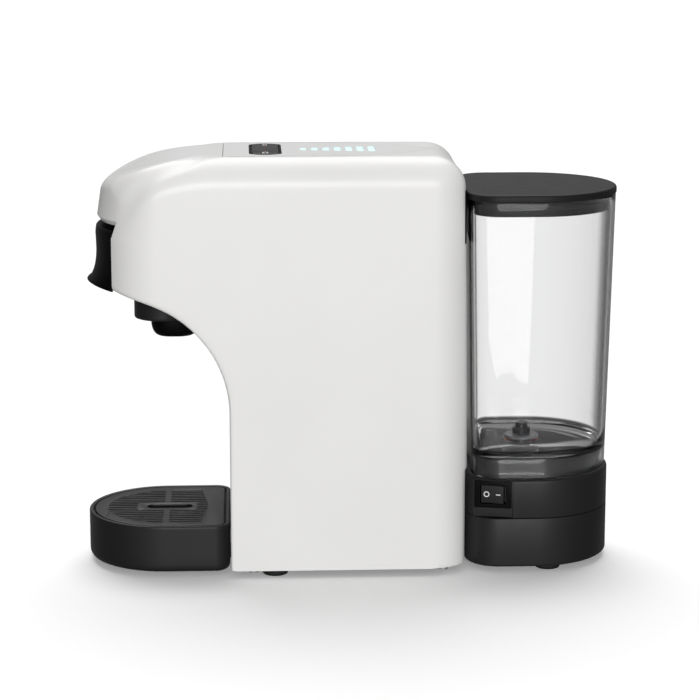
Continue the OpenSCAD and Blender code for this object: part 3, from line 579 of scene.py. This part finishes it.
def surface(name, field, lo, hi, cell):
    """Closed mesh where a field is zero: one point per mixed cell, moved on to the surface."""
    n = [int(math.ceil((hi[i] - lo[i]) / cell)) + 1 for i in range(3)]
    axes = [lo[i] + cell * np.arange(n[i]) for i in range(3)]
    x, y, z = np.meshgrid(*axes, indexing="ij")
    v = field(x, y, z)
    inside = v < 0
    corners = [(i, j, k) for i in (0, 1) for j in (0, 1) for k in (0, 1)]
    shape = tuple(m - 1 for m in n)

    def at(arr, c):
        return arr[c[0]:c[0] + shape[0], c[1]:c[1] + shape[1], c[2]:c[2] + shape[2]]

    count_in = sum(at(inside, c).astype(np.int8) for c in corners)
    mixed = (count_in > 0) & (count_in < 8)
    index = np.full(shape, -1, np.int64)
    cells = np.argwhere(mixed)
    index[mixed] = np.arange(len(cells))
    total = np.zeros((len(cells), 3))
    hits = np.zeros(len(cells))
    for c in corners:
        for axis in range(3):
            if c[axis]:
                continue
            d = list(c)
            d[axis] = 1
            va, vb = at(v, c)[mixed], at(v, d)[mixed]
            cross = (va < 0) != (vb < 0)
            t = np.where(cross, va / np.where(cross, va - vb, 1), 0)
            pos = np.tile(np.array(c, float), (len(cells), 1))
            pos[:, axis] = t
            total += np.where(cross[:, None], pos, 0)
            hits += cross
    verts = (cells + total / hits[:, None]) * cell + np.array(lo)
    faces = []
    for axis in range(3):
        b, c = (axis + 1) % 3, (axis + 2) % 3
        lo_cut = [slice(None)] * 3
        hi_cut = [slice(None)] * 3
        lo_cut[axis], hi_cut[axis] = slice(0, -1), slice(1, None)
        change = inside[tuple(lo_cut)] != inside[tuple(hi_cut)]
        where = np.argwhere(change)
        where = where[(where[:, b] > 0) & (where[:, c] > 0)
                      & (where[:, b] < n[b] - 1) & (where[:, c] < n[c] - 1)]
        quad = []
        for db, dc in ((1, 1), (0, 1), (0, 0), (1, 0)):
            q = where.copy()
            q[:, b] -= db
            q[:, c] -= dc
            quad.append(index[q[:, 0], q[:, 1], q[:, 2]])
        quad = np.stack(quad, axis=1)
        flip = ~inside[tuple(lo_cut)][where[:, 0], where[:, 1], where[:, 2]]
        quad[flip] = quad[flip][:, ::-1]
        faces.append(quad)
    faces = np.vstack(faces)
    h = 0.05
    for _ in range(3):
        p = verts.T
        f = field(*p)
        g = np.stack([(field(*(p + np.eye(3)[i][:, None] * h))
                       - field(*(p - np.eye(3)[i][:, None] * h))) / (2 * h) for i in range(3)], 1)
        move = -f[:, None] * g / np.maximum((g * g).sum(1), 0.2)[:, None]
        size = np.linalg.norm(move, axis=1)
        verts = verts + move * np.minimum(1, cell / np.maximum(size, 1e-9))[:, None]
    return mesh_object(name, verts, faces.tolist(), 40)


def copy_of(obj, name):
    """New object with its own copy of the mesh."""
    return link(bpy.data.objects.new(name, obj.data.copy()))


# ---------------------------------------------------------------- housing and top panel

STRIP_HALF, STRIP_TAPER, STRIP_FRONT, STRIP_REAR = 33.5, 50.0, -142, 50
SEAM_Y, SEAM_HALF = -76.0, 0.15        # cross seam of the top panel and half its gap
BUTTON_Y, BUTTON_TOP = -51.0, 251.32
BARS_Y, BAR_COUNT, BAR_PITCH = -28.3, 7, 6.8
COLLAR_Y, SPOUT_Y = -113, -108
RAIL_X = 34


def strip_outline(g):
    """Outline of the long top panel from above, grown by g: pointed at both ends."""
    half, taper = STRIP_HALF + g, STRIP_TAPER
    u = np.linspace(0, 1, 33)
    front = np.column_stack([half * (1 - u * u), STRIP_FRONT + taper - u * (taper + g)])
    u = u[::-1]
    back = np.column_stack([half * (1 - u * u), STRIP_REAR - taper + u * (taper + g)])
    right = np.vstack([back, front])
    left = right[-2:0:-1] * np.array([-1, 1])
    return np.vstack([right, left])[::-1]


def nose_wedge(name, profile, half_angle, n=40, fade=None):
    """Sweeps a flat (radius, z) outline round the centre of the nose; what stands out fades."""
    rings = []
    for a in np.linspace(-half_angle, half_angle, n + 1):
        t = math.radians(a)
        ring = []
        for r, z in profile:
            if fade and r > NOSE_R:
                r = NOSE_R + (r - NOSE_R) * max(0.0, 1 - (abs(a) / fade) ** 2.2)
            ring.append((r * math.sin(t), NOSE_CY - r * math.cos(t), z))
        rings.append(ring)
    return loft(name, rings)


def build_housing():
    """The shell and the two lengths of the grey panel that is let into its top."""
    lo, hi = (-54, -158, BOTTOM_Z - 5.5), (54, 74, 256)

    def outer(x, y, z):
        return np.maximum(form_field(x, y, z), BOTTOM_Z - z)

    shell = surface("shell", outer, lo, hi, 1.5)
    hollow = surface("hollow", lambda x, y, z: np.maximum(form_field(x, y, z) + WALL, -1 - z),
                     lo, hi, 3.0)
    bed = surface("bed", lambda x, y, z: np.maximum(np.maximum(
        form_field(x, y, z) + 1.5, 226 - z), np.abs(x) - 45), (-54, -158, 220), (54, 74, 256), 2.0)
    # the skin is the outer 1.5 mm of the top
    skin = copy_of(shell, "skin")
    boolean(skin, [block("cut", (-60, -200, 228), (60, 100, 260))], "INTERSECT")
    boolean(skin, [bed])
    strip = prism("strip", strip_outline(-0.16), 200, 260)
    panel = copy_of(skin, "top_panel")
    boolean(panel, [strip], "INTERSECT")
    front = copy_of(panel, "nose_panel_skin")
    boolean(front, [block("cut", (-60, SEAM_Y - SEAM_HALF, 200), (60, 80, 280))])
    boolean(panel, [block("cut", (-60, -200, 200), (60, SEAM_Y + SEAM_HALF, 280))])
    holes = [button_outline(1.4)]
    for i in range(BAR_COUNT):
        holes.append(round_outline(0, BARS_Y + i * BAR_PITCH, bar_length(i) + 0.3, 4.2, 1.0))
    boolean(panel, [prism("hole", outline, 200, 280) for outline in holes])
    put(front, "panel_grey", "machine", "nose_inlay")
    put(panel, "panel_grey", "machine", "control_inlay")
    # the shell, with the bed of the panel, the mouth of the drawer and the other openings
    boolean(skin, [prism("strip", strip_outline(0.14), 200, 260)], "INTERSECT")
    mouth = block("mouth", (-35.3, -175, 158), (35.3, -141, 209.3))
    chamfer = nose_wedge("chamfer", [(56.4, 204), (56.4, 209.3), (70, 228), (70, 204)], 44)
    flare = loft("flare", [[(-35.3 - k, y, 204), (35.3 + k, y, 204), (35.3 + k + 3, y, 216),
                            (35.3 + k + 3, y, 230), (-38.3 - k, y, 230), (-38.3 - k, y, 216)]
                           for y, k in ((-175, 0.6), (-120, 0.0))])
    boolean(chamfer, [flare], "INTERSECT")
    dock = block("dock", (-40, 62, 199), (40, 74, 231))
    rails = [block("rail", (s * RAIL_X - 3.4, -77.5, 8.6), (s * RAIL_X + 3.4, -65.5, 17.4))
             for s in (-1, 1)]
    back_way = block("way", (-22, 55.8, 14), (22, 76, 50))
    collar = prism("collar", circle(0, COLLAR_Y, 17.7, 96), 130, 180)
    panel_way = prism("panel_way", strip_outline(-3), 200, 280)
    boolean(shell, [hollow])
    boolean(shell, [skin, mouth, chamfer, dock, back_way, collar, panel_way, *rails])
    shell.data.validate()
    put(shell, "white_shell", "machine", "housing")


# ---------------------------------------------------------------- button and bars

def bar_length(i):
    """The bars get longer from 10 to 23 mm."""
    return 10 + (23 - 10) * i / (BAR_COUNT - 1)


def round_outline(cx, cy, w, h, r, n=6):
    """Rectangle with round corners."""
    return np.vstack([arc(cx + sx * (w / 2 - r), cy + sy * (h / 2 - r), r, a, a + 90, n)
                      for sx, sy, a in ((1, -1, -90), (1, 1, 0), (-1, 1, 90), (-1, -1, 180))])


def button_outline(g, n=18):
    """Long across the machine, flat front and back, bulging ends."""
    r, half, hy = 10.0 + g, 25.0 - 10.0, 8.3 + g
    a = math.degrees(math.asin(hy / r))
    right = arc(half, BUTTON_Y, r, -a, a, n)
    left = arc(-half, BUTTON_Y, r, 180 - a, 180 + a, n)
    return np.vstack([right, left])


def inset_solid(name, outline_at, z0, z1, top_r, bottom_r=0.0, steps=4):
    """Straight-sided solid with round top and bottom edges; outline_at(inset) gives its outline."""
    rings = []
    for inset, rise in reversed(edge_round(bottom_r, steps)) if bottom_r else [(0.0, 0.0)]:
        rings.append(ring_at(outline_at(inset), z0 + rise))
    for inset, drop in edge_round(top_r, steps) if top_r else [(0.0, 0.0)]:
        rings.append(ring_at(outline_at(inset), z1 - drop))
    return loft(name, rings)


def cup_mark(x, y, z, size):
    """Generic cup seen from the side, as a thin raised outline."""
    w, h, t = size, size * 0.62, size * 0.13
    left, right, low, high = x - w / 2, x + w / 2, y - h / 2, y + h / 2

    def stroke(x0, x1, x2, x3, y0, y1):
        """From x0 to x1 at y0, and from x3 to x2 at y1."""
        return prism("cup", [(x0, y0), (x1, y0), (x2, y1), (x3, y1)], z - 0.2, z)

    cup = stroke(left, right, right, left, low, low + t)
    boolean(cup, [
        stroke(left, left + t, left + t * 1.6, left + t * 0.6, low, high),
        stroke(right - t, right, right - t * 0.6, right - t * 1.6, low, high),
        stroke(left + t * 0.6, right - t * 0.6, right - t * 0.6, left + t * 0.6, high - t, high),
    ], "UNION")
    return cup


def build_controls():
    """The brew button in its bezel, and the level bars on one lit base."""
    bezel = inset_solid("bezel", lambda i: button_outline(1.25 - i), 246.4, 251.2, 0.3)
    boolean(bezel, [prism("cut", button_outline(0.15), 240, 260)])
    put(bezel, "black_satin", "machine", "button_bezel")
    button = inset_solid("button", lambda i: button_outline(-i), 246.8, BUTTON_TOP, 0.9, 0.3, 5)
    put(button, "button_gloss", "button", "brew_button")
    for s, size in ((-1, 4.2), (1, 5.6)):
        cup = cup_mark(s * 18.5, BUTTON_Y, BUTTON_TOP + 0.04, size)
        put(cup, "white_mark", "button", slot="button_gloss")
        dot = turned("dot", s * 12.3, BUTTON_Y,
                     [(0.7, BUTTON_TOP - 0.1), (0.7, BUTTON_TOP + 0.03)], 20)
        put(dot, "red_mark", "button", slot="button_gloss")
    window = inset_solid("bar_base", lambda i: round_outline(0, BARS_Y + 20.4, 26 - 2 * i,
                                                            49 - 2 * i, 2 - i), 249.0, 249.4, 0.1)
    bars = [inset_solid("bar", lambda inset, i=i: round_outline(
        0, BARS_Y + i * BAR_PITCH, bar_length(i) - 2 * inset, 3.9 - 2 * inset, 0.9 - inset),
        249.3, 250.96, 0.3) for i in range(BAR_COUNT)]
    boolean(window, bars, "UNION")
    put(window, "lit_bars", "machine", "level_bars")


# ---------------------------------------------------------------- drawer and outlet

DRAWER_BOTTOM, LIP_SLOPE = 171.5, 0.16


def build_drawer():
    """The front of the pod drawer, hollow towards the bottom and flared into a finger lip."""
    profile = [(47.5, DRAWER_BOTTOM)]
    for t in np.linspace(-90, 0, 6):
        r = math.radians(t)
        profile.append((65.6 + 0.6 * math.cos(r), 172.1 + 0.6 * math.sin(r)))
    for u in np.linspace(0.02, 1, 26):
        profile.append((NOSE_R + 5.4 * (1 - u) ** 4 - 0.4 * math.sin(math.pi * u) - 0.25,
                        173 + 30 * u))
    profile += [(60.5, 205.5), (60.2, 207.0), (59.6, 207.6), (58.8, 207.8), (47.5, 207.8)]
    front = nose_wedge("pod_drawer", profile, 44, 72, 36)
    # the underside rises a little towards the lip
    for v in front.data.vertices:
        low = 1 - (v.co.z / MM - DRAWER_BOTTOM) / 5
        if low > 0:
            v.co.z += LIP_SLOPE * max(0.0, -141 * MM - v.co.y) * min(1.0, low)
    boolean(front, [block("cut", (-35, -175, 150), (35, -141.3, 230))], "INTERSECT")
    bevel(front, 0.5, 2, 50)
    # hollow under the lip for the finger
    rings = [[(x, -151.6, 160), (x, -151.6, 172.6 + k), (x, -145, 174.8), (x, -143.2, 174.4),
              (x, -143.2, 160)] for x, k in ((-17, -0.3), (-13, 0.6), (13, 0.6), (17, -0.3))]
    boolean(front, [loft("hollow", rings)])
    put(front, "black_satin", "drawer", "drawer_front")


def build_outlet():
    """The collar under the head and the spout with its two ways."""
    collar = turned("outlet_collar_v", 0, COLLAR_Y, [
        (16.4, 150.0), (17.1, 150.25), (17.45, 150.9), (17.5, 152), (17.5, 174.4)])
    boolean(collar, [turned("cut", 0, COLLAR_Y, [(6, 156), (15.5, 180)], 64),
                     turned("cut", 0, SPOUT_Y, [(4, 140), (4, 170)], 40)])
    put(collar, "charcoal", "machine", "outlet_collar")

    def stadium(r):
        """Circle drawn out 4 mm to the rear."""
        return np.vstack([arc(0, SPOUT_Y, r, 180, 360, 36), arc(0, SPOUT_Y + 4, r, 0, 180, 36)])

    spout = loft("spout_v", [ring_at(stadium(r), z) for r, z in (
        (7.4, 139.0), (8.6, 139.2), (9.8, 139.9), (10.9, 141.2), (11.7, 142.8), (12.2, 144.8),
        (12.45, 147), (12.5, 149.9))])
    boolean(spout, [turned("cut", 0, SPOUT_Y, [(10.3, 143), (10.3, 170)], 64)]
            + [turned("cut", s * 4.6, SPOUT_Y, [(2.2, 130), (2.2, 150)], 32) for s in (-1, 1)])
    put(spout, "black_satin", "machine", "spout")


# ---------------------------------------------------------------- base, switch and feet

BASE_R, BASE_CY, BASE_FRONT = 47.5, 110.2, 68.3
FOOT_R, RIM_R, TANK_CY = 46.0, 49.6, 110.0
TANK_Z0, TANK_Z1, TANK_WALL, VALVE_Y = 58.2, 225.2, 2.6, 105
BASE_SCREWS = ((-30, 84), (12, 80), (0, 146))
FRONT_FOOT, REAR_FOOT = (40, -47), (34, 118)
PANEL_AT, PANEL_TURN = (44, 83.5), -12.0      # middle of the switch panel and its slant


def base_outline(g):
    """D of the base, shrunk by g."""
    return d_outline(BASE_R - g, BASE_CY, BASE_FRONT + g, max(20 - g, 1.0))


def panel_frame(x, y):
    """From the slanted frame of the switch panel to the shared frame; x is outwards."""
    a = math.radians(PANEL_TURN)
    return (PANEL_AT[0] + x * math.cos(a) - y * math.sin(a),
            PANEL_AT[1] + x * math.sin(a) + y * math.cos(a))


def panel_block(name, x0, x1, y0, y1, z0, z1, r=0.0):
    """Block in the slanted frame of the switch panel."""
    pts = [panel_frame(x, y) for x, y in ((x0, y0), (x1, y0), (x1, y1), (x0, y1))]
    obj = prism(name, pts, z0, z1)
    if r:
        bevel(obj, r, 3)
    return obj


def build_base():
    """Both halves of the base under the tank, and the dock behind the head."""
    lower = inset_solid("base_shell", base_outline, 3.8, 33.85, 0.45, 1.6)
    boolean(lower, [prism("cut", base_outline(2.6), 6.8, 60),
                    block("cut", (-20, 64.3, 16), (20, 74.3, 56))])
    boolean(lower, [turned("cut", x, y, [(1.7, 0), (1.7, 12)], 24) for x, y in BASE_SCREWS]
            + [turned("cut", s * REAR_FOOT[0], REAR_FOOT[1], [(8.3, 0), (8.3, 4.45)], 40)
               for s in (-1, 1)])
    # hole for the gland of the mains cable
    inlet = turned("inlet", 0, 0, [(6, 0), (6, 20)], 40)
    inlet.data.transform(Matrix.Translation((-0.06, BASE_CY * MM, 0.016))
                         @ Matrix.Rotation(math.radians(90), 4, "Y"))
    boolean(lower, [inlet])
    put(lower, "charcoal", "machine", "base_lower")

    rows = [(inset, 34.15 + rise) for inset, rise in reversed(edge_round(0.45, 3))]
    rows += [(inset, DECK_Z - drop) for inset, drop in edge_round(2.2, 6)]
    upper = loft("deck", [ring_at(base_outline(inset), z) for inset, z in rows])
    riser = inset_solid("riser", lambda i: d_outline(42.7 - i, TANK_CY, 74.7 + i, 15.4 - i),
                        57, 70.4, 0.8)
    posts = [turned("post", x, y, [(4, 14), (4, 69.1)], 32) for x, y in BASE_SCREWS]
    boolean(upper, [prism("cut", base_outline(2.6), 30, 56), panel_pocket()])
    boolean(upper, [riser, *posts], "UNION")
    # the riser is hollow, so what the cut takes from the posts is put back
    boolean(upper, [prism("cut", d_outline(40.4, TANK_CY, 77, 13), 54, 71.9)])
    posts = [turned("post", x, y, [(4, 50), (4, 69.1)], 32) for x, y in BASE_SCREWS]
    boolean(upper, posts, "UNION")
    deck = prism("deck_top", d_outline(41.5, TANK_CY, 76, 14), 68.2, 70.35)
    boolean(upper, [deck], "UNION")
    boolean(upper, [turned("cut", 0, VALVE_Y, [(13, 48), (13, 88)], 72),
                    block("cut", (-20, 64.3, 33), (20, 74.3, 48))]
            + [turned("cut", x, y, [(1.3, 10), (1.3, 30)], 24) for x, y in BASE_SCREWS])
    put(upper, "charcoal", "machine", "base_upper")
    dock = block("dock_v", (-39.8, 62.2, 199.2), (39.8, 66.5, 230.8))
    bevel(dock, 1.0, 3)
    put(dock, "black_satin", "machine", "tank_dock")


def panel_pocket():
    """What the switch panel and the back of the switch take out of the base."""
    tool = panel_block("pocket", -3.35, 17, -12.15, 12.15, 33, 56.95)
    way = panel_block("way", -9, 3, -10.1, 10.1, 41.3, 55.7)
    return boolean(tool, [way], "UNION")


def build_switch():
    """Panel, frame and rocker of the power switch, in the slanted frame of the panel."""
    panel = panel_block("panel", -3.2, -0.02, -12, 12, 34.3, 56.8, 0.35)
    boolean(panel, [panel_block("cut", -6, 6, -10, 10, 41.4, 55.6)])
    put(panel, "charcoal", "machine", "switch_panel")
    surround = panel_block("surround", 0.02, 1.62, -11.2, 11.2, 40.2, 56.8, 0.6)
    back = panel_block("back", -5, 0.4, -9.9, 9.9, 41.5, 55.5)
    boolean(surround, [back], "UNION")
    boolean(surround, [panel_block("cut", -6, 6, -7.8, 7.8, 42.7, 54.3)])
    put(surround, "black_satin", "machine", "switch_frame")

    def local(x, y):
        """Frame of the rocker, which rests tilted by 6 degrees about its pin."""
        a = math.radians(-6.0)
        return panel_frame(-2.4 + x * math.cos(a) - y * math.sin(a),
                           x * math.sin(a) + y * math.cos(a))

    outline = [local(x, y) for x, y in
               ((-1.6, -6.6), (4.0, -6.9), (3.4, 0), (4.0, 6.9), (-1.6, 6.6))]
    rocker = prism("rocker_v", outline, 43.0, 54.0)
    bevel(rocker, 0.45, 3, 20)
    pin = prism("pin", [local(1.2 * math.cos(t), 1.2 * math.sin(t))
                        for t in np.linspace(0, 2 * math.pi, 25)[:-1]], 42.0, 55.0)
    boolean(rocker, [pin], "UNION")
    put(rocker, "charcoal", "rocker", "power_rocker")
    # generic off and on marks: a ring on the front half, a bar on the rear half
    ring, mark_r = [], 1.45
    for a in np.linspace(0, 2 * math.pi, 33)[:-1]:
        row = []
        for dr, dx in ((-0.28, 0.0), (0.28, 0.0), (0.28, 0.09), (-0.28, 0.09)):
            y = -3.5 + (mark_r + dr) * math.cos(a)
            z = 48.5 + (mark_r + dr) * math.sin(a)
            base = 3.4 + 0.6 * (-y / 6.9) - 0.05
            row.append((*local(base + dx, y), z))
        ring.append(row)
    put(loft("off_mark", ring, closed=True), "white_mark", "rocker", slot="charcoal")
    rows = [[(*local(3.4 + 0.6 * y / 6.9 + dx, y), z)
             for y, dx in ((2.2, -0.05), (5.0, -0.05), (5.0, 0.05), (2.2, 0.05))]
            for z in (48.2, 48.8)]
    put(loft("on_mark", rows), "white_mark", "rocker", slot="charcoal")


def build_feet():
    """Four round rubber feet, each with a plug."""
    profile = [(6.4, 0.0), (7.1, 0.15), (7.6, 0.7), (7.8, 1.4), (7.95, 2.6), (7.9, 2.98),
               (7.0, 3.0), (7.0, 4.38), (2.45, 4.4), (2.45, 6.3), (2.2, 6.5)]
    for name, (x, y) in (("front", FRONT_FOOT), ("rear", REAR_FOOT)):
        for s in (-1, 1):
            foot = turned(name + "_foot", s * x, y, profile, 56)
            put(foot, "rubber_black", "machine", name + "_feet")


# ---------------------------------------------------------------- tank and lid

def tank_outline(z, g):
    """D of the tank at height z, shrunk by g. The tank gets wider towards its rim."""
    t = (z - TANK_Z0) / (TANK_Z1 - TANK_Z0)
    r = FOOT_R + (RIM_R - FOOT_R) * t
    front = 71.4 + (68.0 - 71.4) * t
    return d_outline(r - g, TANK_CY, front + g, max(18 - g, 0.8))


def build_tank():
    """The clear tank with its floor, and the guide of its valve."""
    wall, z0, z1 = TANK_WALL, TANK_Z0, TANK_Z1
    # (inset, z) round the section: under the floor, skirt, outside, rim, inside, floor
    rows = [(30.0, 70.8), (wall + 1.2, 70.8), (wall + 0.3, 70.4), (wall, 69.5)]
    rows += [(wall, 66), (wall, 62), (wall, 59.0), (wall - 0.5, 58.35), (wall - 1.0, z0)]
    rows += [(1.0, z0), (0.4, 58.35), (0, 59.0)]
    rows += [(0, z) for z in np.linspace(64, 220, 14)]
    rows += [(inset, z1 - drop) for inset, drop in edge_round(1.1, 5)]
    rows += [(wall - inset, z1 - drop) for inset, drop in reversed(edge_round(1.1, 5))]
    rows += [(wall, z) for z in np.linspace(218, 82, 12)]
    rows += [(wall, 74.0), (wall + 0.2, 73.5), (wall + 0.7, 73.2), (30.0, 73.2)]
    tank = loft("tank_v", [ring_at(tank_outline(z, g), z) for g, z in rows], angle=50)
    boolean(tank, [turned("cut", 0, VALVE_Y, [(5, 60), (5, 90)], 48)], angle=50)
    put(tank, "clear_tank", "tank", "tank")
    guide = turned("guide_v", 0, VALVE_Y, [
        (4.95, 69.4), (4.95, 73.25), (10.2, 73.25), (10.5, 73.5), (10.5, 74.4), (10.2, 74.75),
        (7.6, 74.85), (6.6, 74.4), (5.8, 74.4), (5.2, 74.85), (4.0, 74.85)], 72)
    boolean(guide, [turned("cut", 0, VALVE_Y, [(2.45, 60), (2.45, 90)], 40)])
    put(guide, "silicone_clear", "tank", "valve_guide", slot="silicone")


def build_lid():
    """The lid with its plug, and the seal in the groove of the plug."""
    seal = prism("seal_v", d_outline(46.5, TANK_CY, 71.1, 15), 220.4, 222.2)
    boolean(seal, [prism("cut", d_outline(45.25, TANK_CY, 72.35, 14), 219, 224)])
    put(seal, "rubber_black", "lid", "lid_seal")

    z0, z1 = 225.3, 229.5
    rows = [(3.0, z0), (0.35, z0), (0.0, z0 + 0.4)]
    rows += [(inset, z1 - drop) for inset, drop in edge_round(1.5, 6)]
    rows += [(2.4, z1 - 0.06), (4.0, z1 - 0.14), (12.0, z1 - 0.2)]
    lid = loft("lid_v", [ring_at(d_outline(51.5 - g, 108.5, 66.95 + g, 19 - g), z)
                         for g, z in rows])
    plug = inset_solid("plug", lambda i: d_outline(46.1 - i, TANK_CY, 71.5 + i, 15.4 - i),
                       216.1, 226, 0, 0.8)
    boolean(lid, [plug], "UNION")
    boolean(lid, [prism("cut", d_outline(44.0, TANK_CY, 73.6, 13), 210, 225.1)])
    groove = prism("groove", d_outline(48, TANK_CY, 69.4, 16), 220.3, 222.3)
    boolean(groove, [prism("cut", d_outline(45.2, TANK_CY, 72.4, 14), 219, 224)])
    boolean(lid, [groove])
    put(lid, "lid_black", "lid", "tank_lid", slot="charcoal")


# ---------------------------------------------------------------- drip tray

TRAY_R, TRAY_CY, TRAY_BACK, TRAY_TOP = 47.5, -112.5, -74.0, 31.5
GRILLE_INSET, SLOT_COUNT = 3.4, 9      # slots on each side of the middle


def tray_outline(g):
    """Round front, straight sides, square back with round corners."""
    r, c = TRAY_R - g, max(9.0 - g, 0.8)
    front = arc(0, TRAY_CY, r, 180, 360, 72)
    right = arc(r - c, TRAY_BACK - g - c, c, 0, 90, 8)
    left = arc(-(r - c), TRAY_BACK - g - c, c, 90, 180, 8)
    sides_r = np.column_stack([np.full(5, r), np.linspace(TRAY_CY, TRAY_BACK - g - c, 7)[1:-1]])
    sides_l = np.column_stack([np.full(5, -r), np.linspace(TRAY_BACK - g - c, TRAY_CY, 7)[1:-1]])
    return np.vstack([front, sides_r, right, left, sides_l])


def build_tray():
    """The tub with its two rails, and the slotted grille."""
    # (inset, z) round the section: underside, outside, rim, seat of the grille, inside
    rows = [(20.0, 3.0), (4.0, 3.0), (2.8, 3.1), (1.6, 3.6), (1.0, 4.3), (0.5, 5.0), (0.1, 6.2)]
    rows += [(0.0, z) for z in np.linspace(8, 29.5, 6)]
    rows += [(inset, TRAY_TOP - drop) for inset, drop in edge_round(0.9, 5)]
    rows += [(1.7, TRAY_TOP), (2.4, 31.25), (2.9, 30.7), (3.0, 30.2), (3.0, 28.85), (5.4, 28.8),
             (5.6, 28.5), (5.6, 8.4), (6.0, 6.6), (7.2, 5.6), (9.0, 5.4), (22.0, 5.4)]
    tub = loft("tub_v", [ring_at(tray_outline(g), z) for g, z in rows], angle=35)
    rails = [block("rail", (s * RAIL_X - 3, -76, 9), (s * RAIL_X + 3, -53, 17)) for s in (-1, 1)]
    for rail in rails:
        bevel(rail, 0.6, 2)
    boolean(tub, rails, "UNION", 35)
    put(tub, "charcoal_tray", "tray", "drip_bin")

    grille = inset_solid("grille_v", lambda i: tray_outline(3.45 + i), 28.95, 31.25, 0.5)
    slots = []
    reach = TRAY_R - GRILLE_INSET - 8
    pitch = reach / SLOT_COUNT
    for s in (-1, 1):
        for i in range(SLOT_COUNT):
            x = s * (i + 0.5) * pitch
            gap = 18 if abs(x) < 9 else 1.6
            for y0, y1 in ((TRAY_CY - math.sqrt(max(reach * reach - x * x, 1)), TRAY_CY - gap),
                           (TRAY_CY + gap, TRAY_BACK - 13 - abs(x) * 0.12)):
                if y1 - y0 > 3:
                    outline = round_outline(x, (y0 + y1) / 2, pitch * 0.42, y1 - y0, 0.9, 3)
                    slots.append(prism("slot", outline, 20, 40))
    slots.append(prism("slot", round_outline(0, -111, 8.5, 28, 4.2, 8), 20, 40))
    boolean(grille, slots)
    bevel(grille, 0.3, 2, 50)
    put(grille, "charcoal_tray", "grille", "drip_grille")


# ---------------------------------------------------------------- light and floor

WORLD_BASE = 0.10
# (axis, from, to, gain): how much brighter the world gets along an axis
WORLD_RAMPS = ((0, 0.3, 1.0, 0.42), (0, -0.3, -0.9, 0.12), (2, 0.3, 1.0, 0.10))
HORIZON_DARK = 0.06        # what clear parts see above and below the white horizon
SUNS = (("key", 2.6, 1, 5, 32), ("top", 2.3, 182, 60, 55))
FLOOR_GLOW = 0.18


def add_sun(name, strength, azimuth, elevation, spread):
    """Far soft lamp; azimuth and elevation say where it stands, in degrees, 0 being +X."""
    data = bpy.data.lights.new(name, "SUN")
    data.energy = strength
    data.angle = math.radians(spread)
    lamp = link(bpy.data.objects.new(name, data))
    a, e = math.radians(azimuth), math.radians(elevation)
    out = Vector((math.cos(a) * math.cos(e), math.sin(a) * math.cos(e), math.sin(e)))
    lamp.rotation_euler = out.to_track_quat("Z", "Y").to_euler()


def add_world():
    """White to look at. As light it is bright on the +X side; clear parts see a white horizon."""
    world = bpy.data.worlds.new("studio")
    world.use_nodes = True
    t = Nodes(world.node_tree)
    coords = t.node("ShaderNodeTexCoord")
    split = t.node("ShaderNodeSeparateXYZ")
    t.join(coords, "Generated", split, 0)

    def ramp(axis, lo, hi, gain):
        return t.span(split, axis, lo, hi, 0, gain, interpolation_type="SMOOTHSTEP")

    total = None
    for row in WORLD_RAMPS:
        add = t.node("ShaderNodeMath", operation="ADD")
        if total is None:
            add.inputs[0].default_value = WORLD_BASE
        else:
            t.join(total, 0, add, 0)
        t.join(ramp(*row), 0, add, 1)
        total = add
    capped = t.node("ShaderNodeMath", operation="MINIMUM")
    capped.inputs[1].default_value = 1.0
    t.join(total, 0, capped, 0)
    raised = t.node("ShaderNodeMath", operation="MULTIPLY_ADD")
    raised.inputs[2].default_value = HORIZON_DARK
    t.join(ramp(2, 0.19, 0.10, 1 - HORIZON_DARK), 0, raised, 0)
    t.join(ramp(2, -0.7, -0.55, 1.0), 0, raised, 1)
    path = t.node("ShaderNodeLightPath")
    through = t.node("ShaderNodeMix", data_type="FLOAT")
    t.join(path, "Is Transmission Ray", through, 0)
    t.join(capped, 0, through, 2)
    t.join(raised, 0, through, 3)
    mix = t.node("ShaderNodeMix", data_type="FLOAT")
    mix.inputs[3].default_value = 1.0
    t.join(path, "Is Camera Ray", mix, 0)
    t.join(through, 0, mix, 2)
    back = t.node("ShaderNodeBackground")
    back.inputs["Color"].default_value = (1, 1, 1, 1)
    t.join(mix, 0, back, "Strength")
    t.join(back, 0, t.node("ShaderNodeOutputWorld"), "Surface")
    bpy.context.scene.world = world


def add_stage():
    """World, two soft lamps and a pale floor."""
    scene = bpy.context.scene
    scene.view_settings.view_transform = "Standard"
    scene.view_settings.look = "None"
    add_world()
    for row in SUNS:
        add_sun(*row)
    size = 30.0
    mesh = bpy.data.meshes.new("floor")
    mesh.from_pydata([(-size, -size, 0), (size, -size, 0), (size, size, 0), (-size, size, 0)],
                     [], [(0, 1, 2, 3)])
    floor = link(bpy.data.objects.new("floor", mesh))
    s = Shader("floor")
    drift = s.span(s.noise(1.5, 2.0), "Fac", 0.3, 0.7, 0, 1)
    base = s.blend(drift, "Result", (0.95, 0.95, 0.95), (0.96, 0.96, 0.96))
    s.join(base, 2, s.bsdf, "Base Color")
    s.put(Roughness=0.95, Specular_IOR_Level=0.0, Emission_Color=(1, 1, 1, 1),
          Emission_Strength=FLOOR_GLOW)
    floor.data.materials.append(s.mat)
    floor.visible_diffuse = False
    floor.visible_glossy = False
    floor.visible_transmission = False


# ---------------------------------------------------------------- CAD nodes that stay as they are

def dress_nodes():
    """Every CAD node gets the finish of its slot; a new piece may replace the node later."""
    for entry in frame["record"]["subparts"]:
        obj = NODES[entry["node"]]
        obj.data.materials.clear()
        obj.data.materials.append(MATS[entry["material_slot"]])


MATS = make_materials()
add_camera()
add_stage()
dress_nodes()
build_housing()
build_controls()
build_drawer()
build_outlet()
build_base()
build_switch()
build_tank()
build_lid()
build_tray()
build_feet()
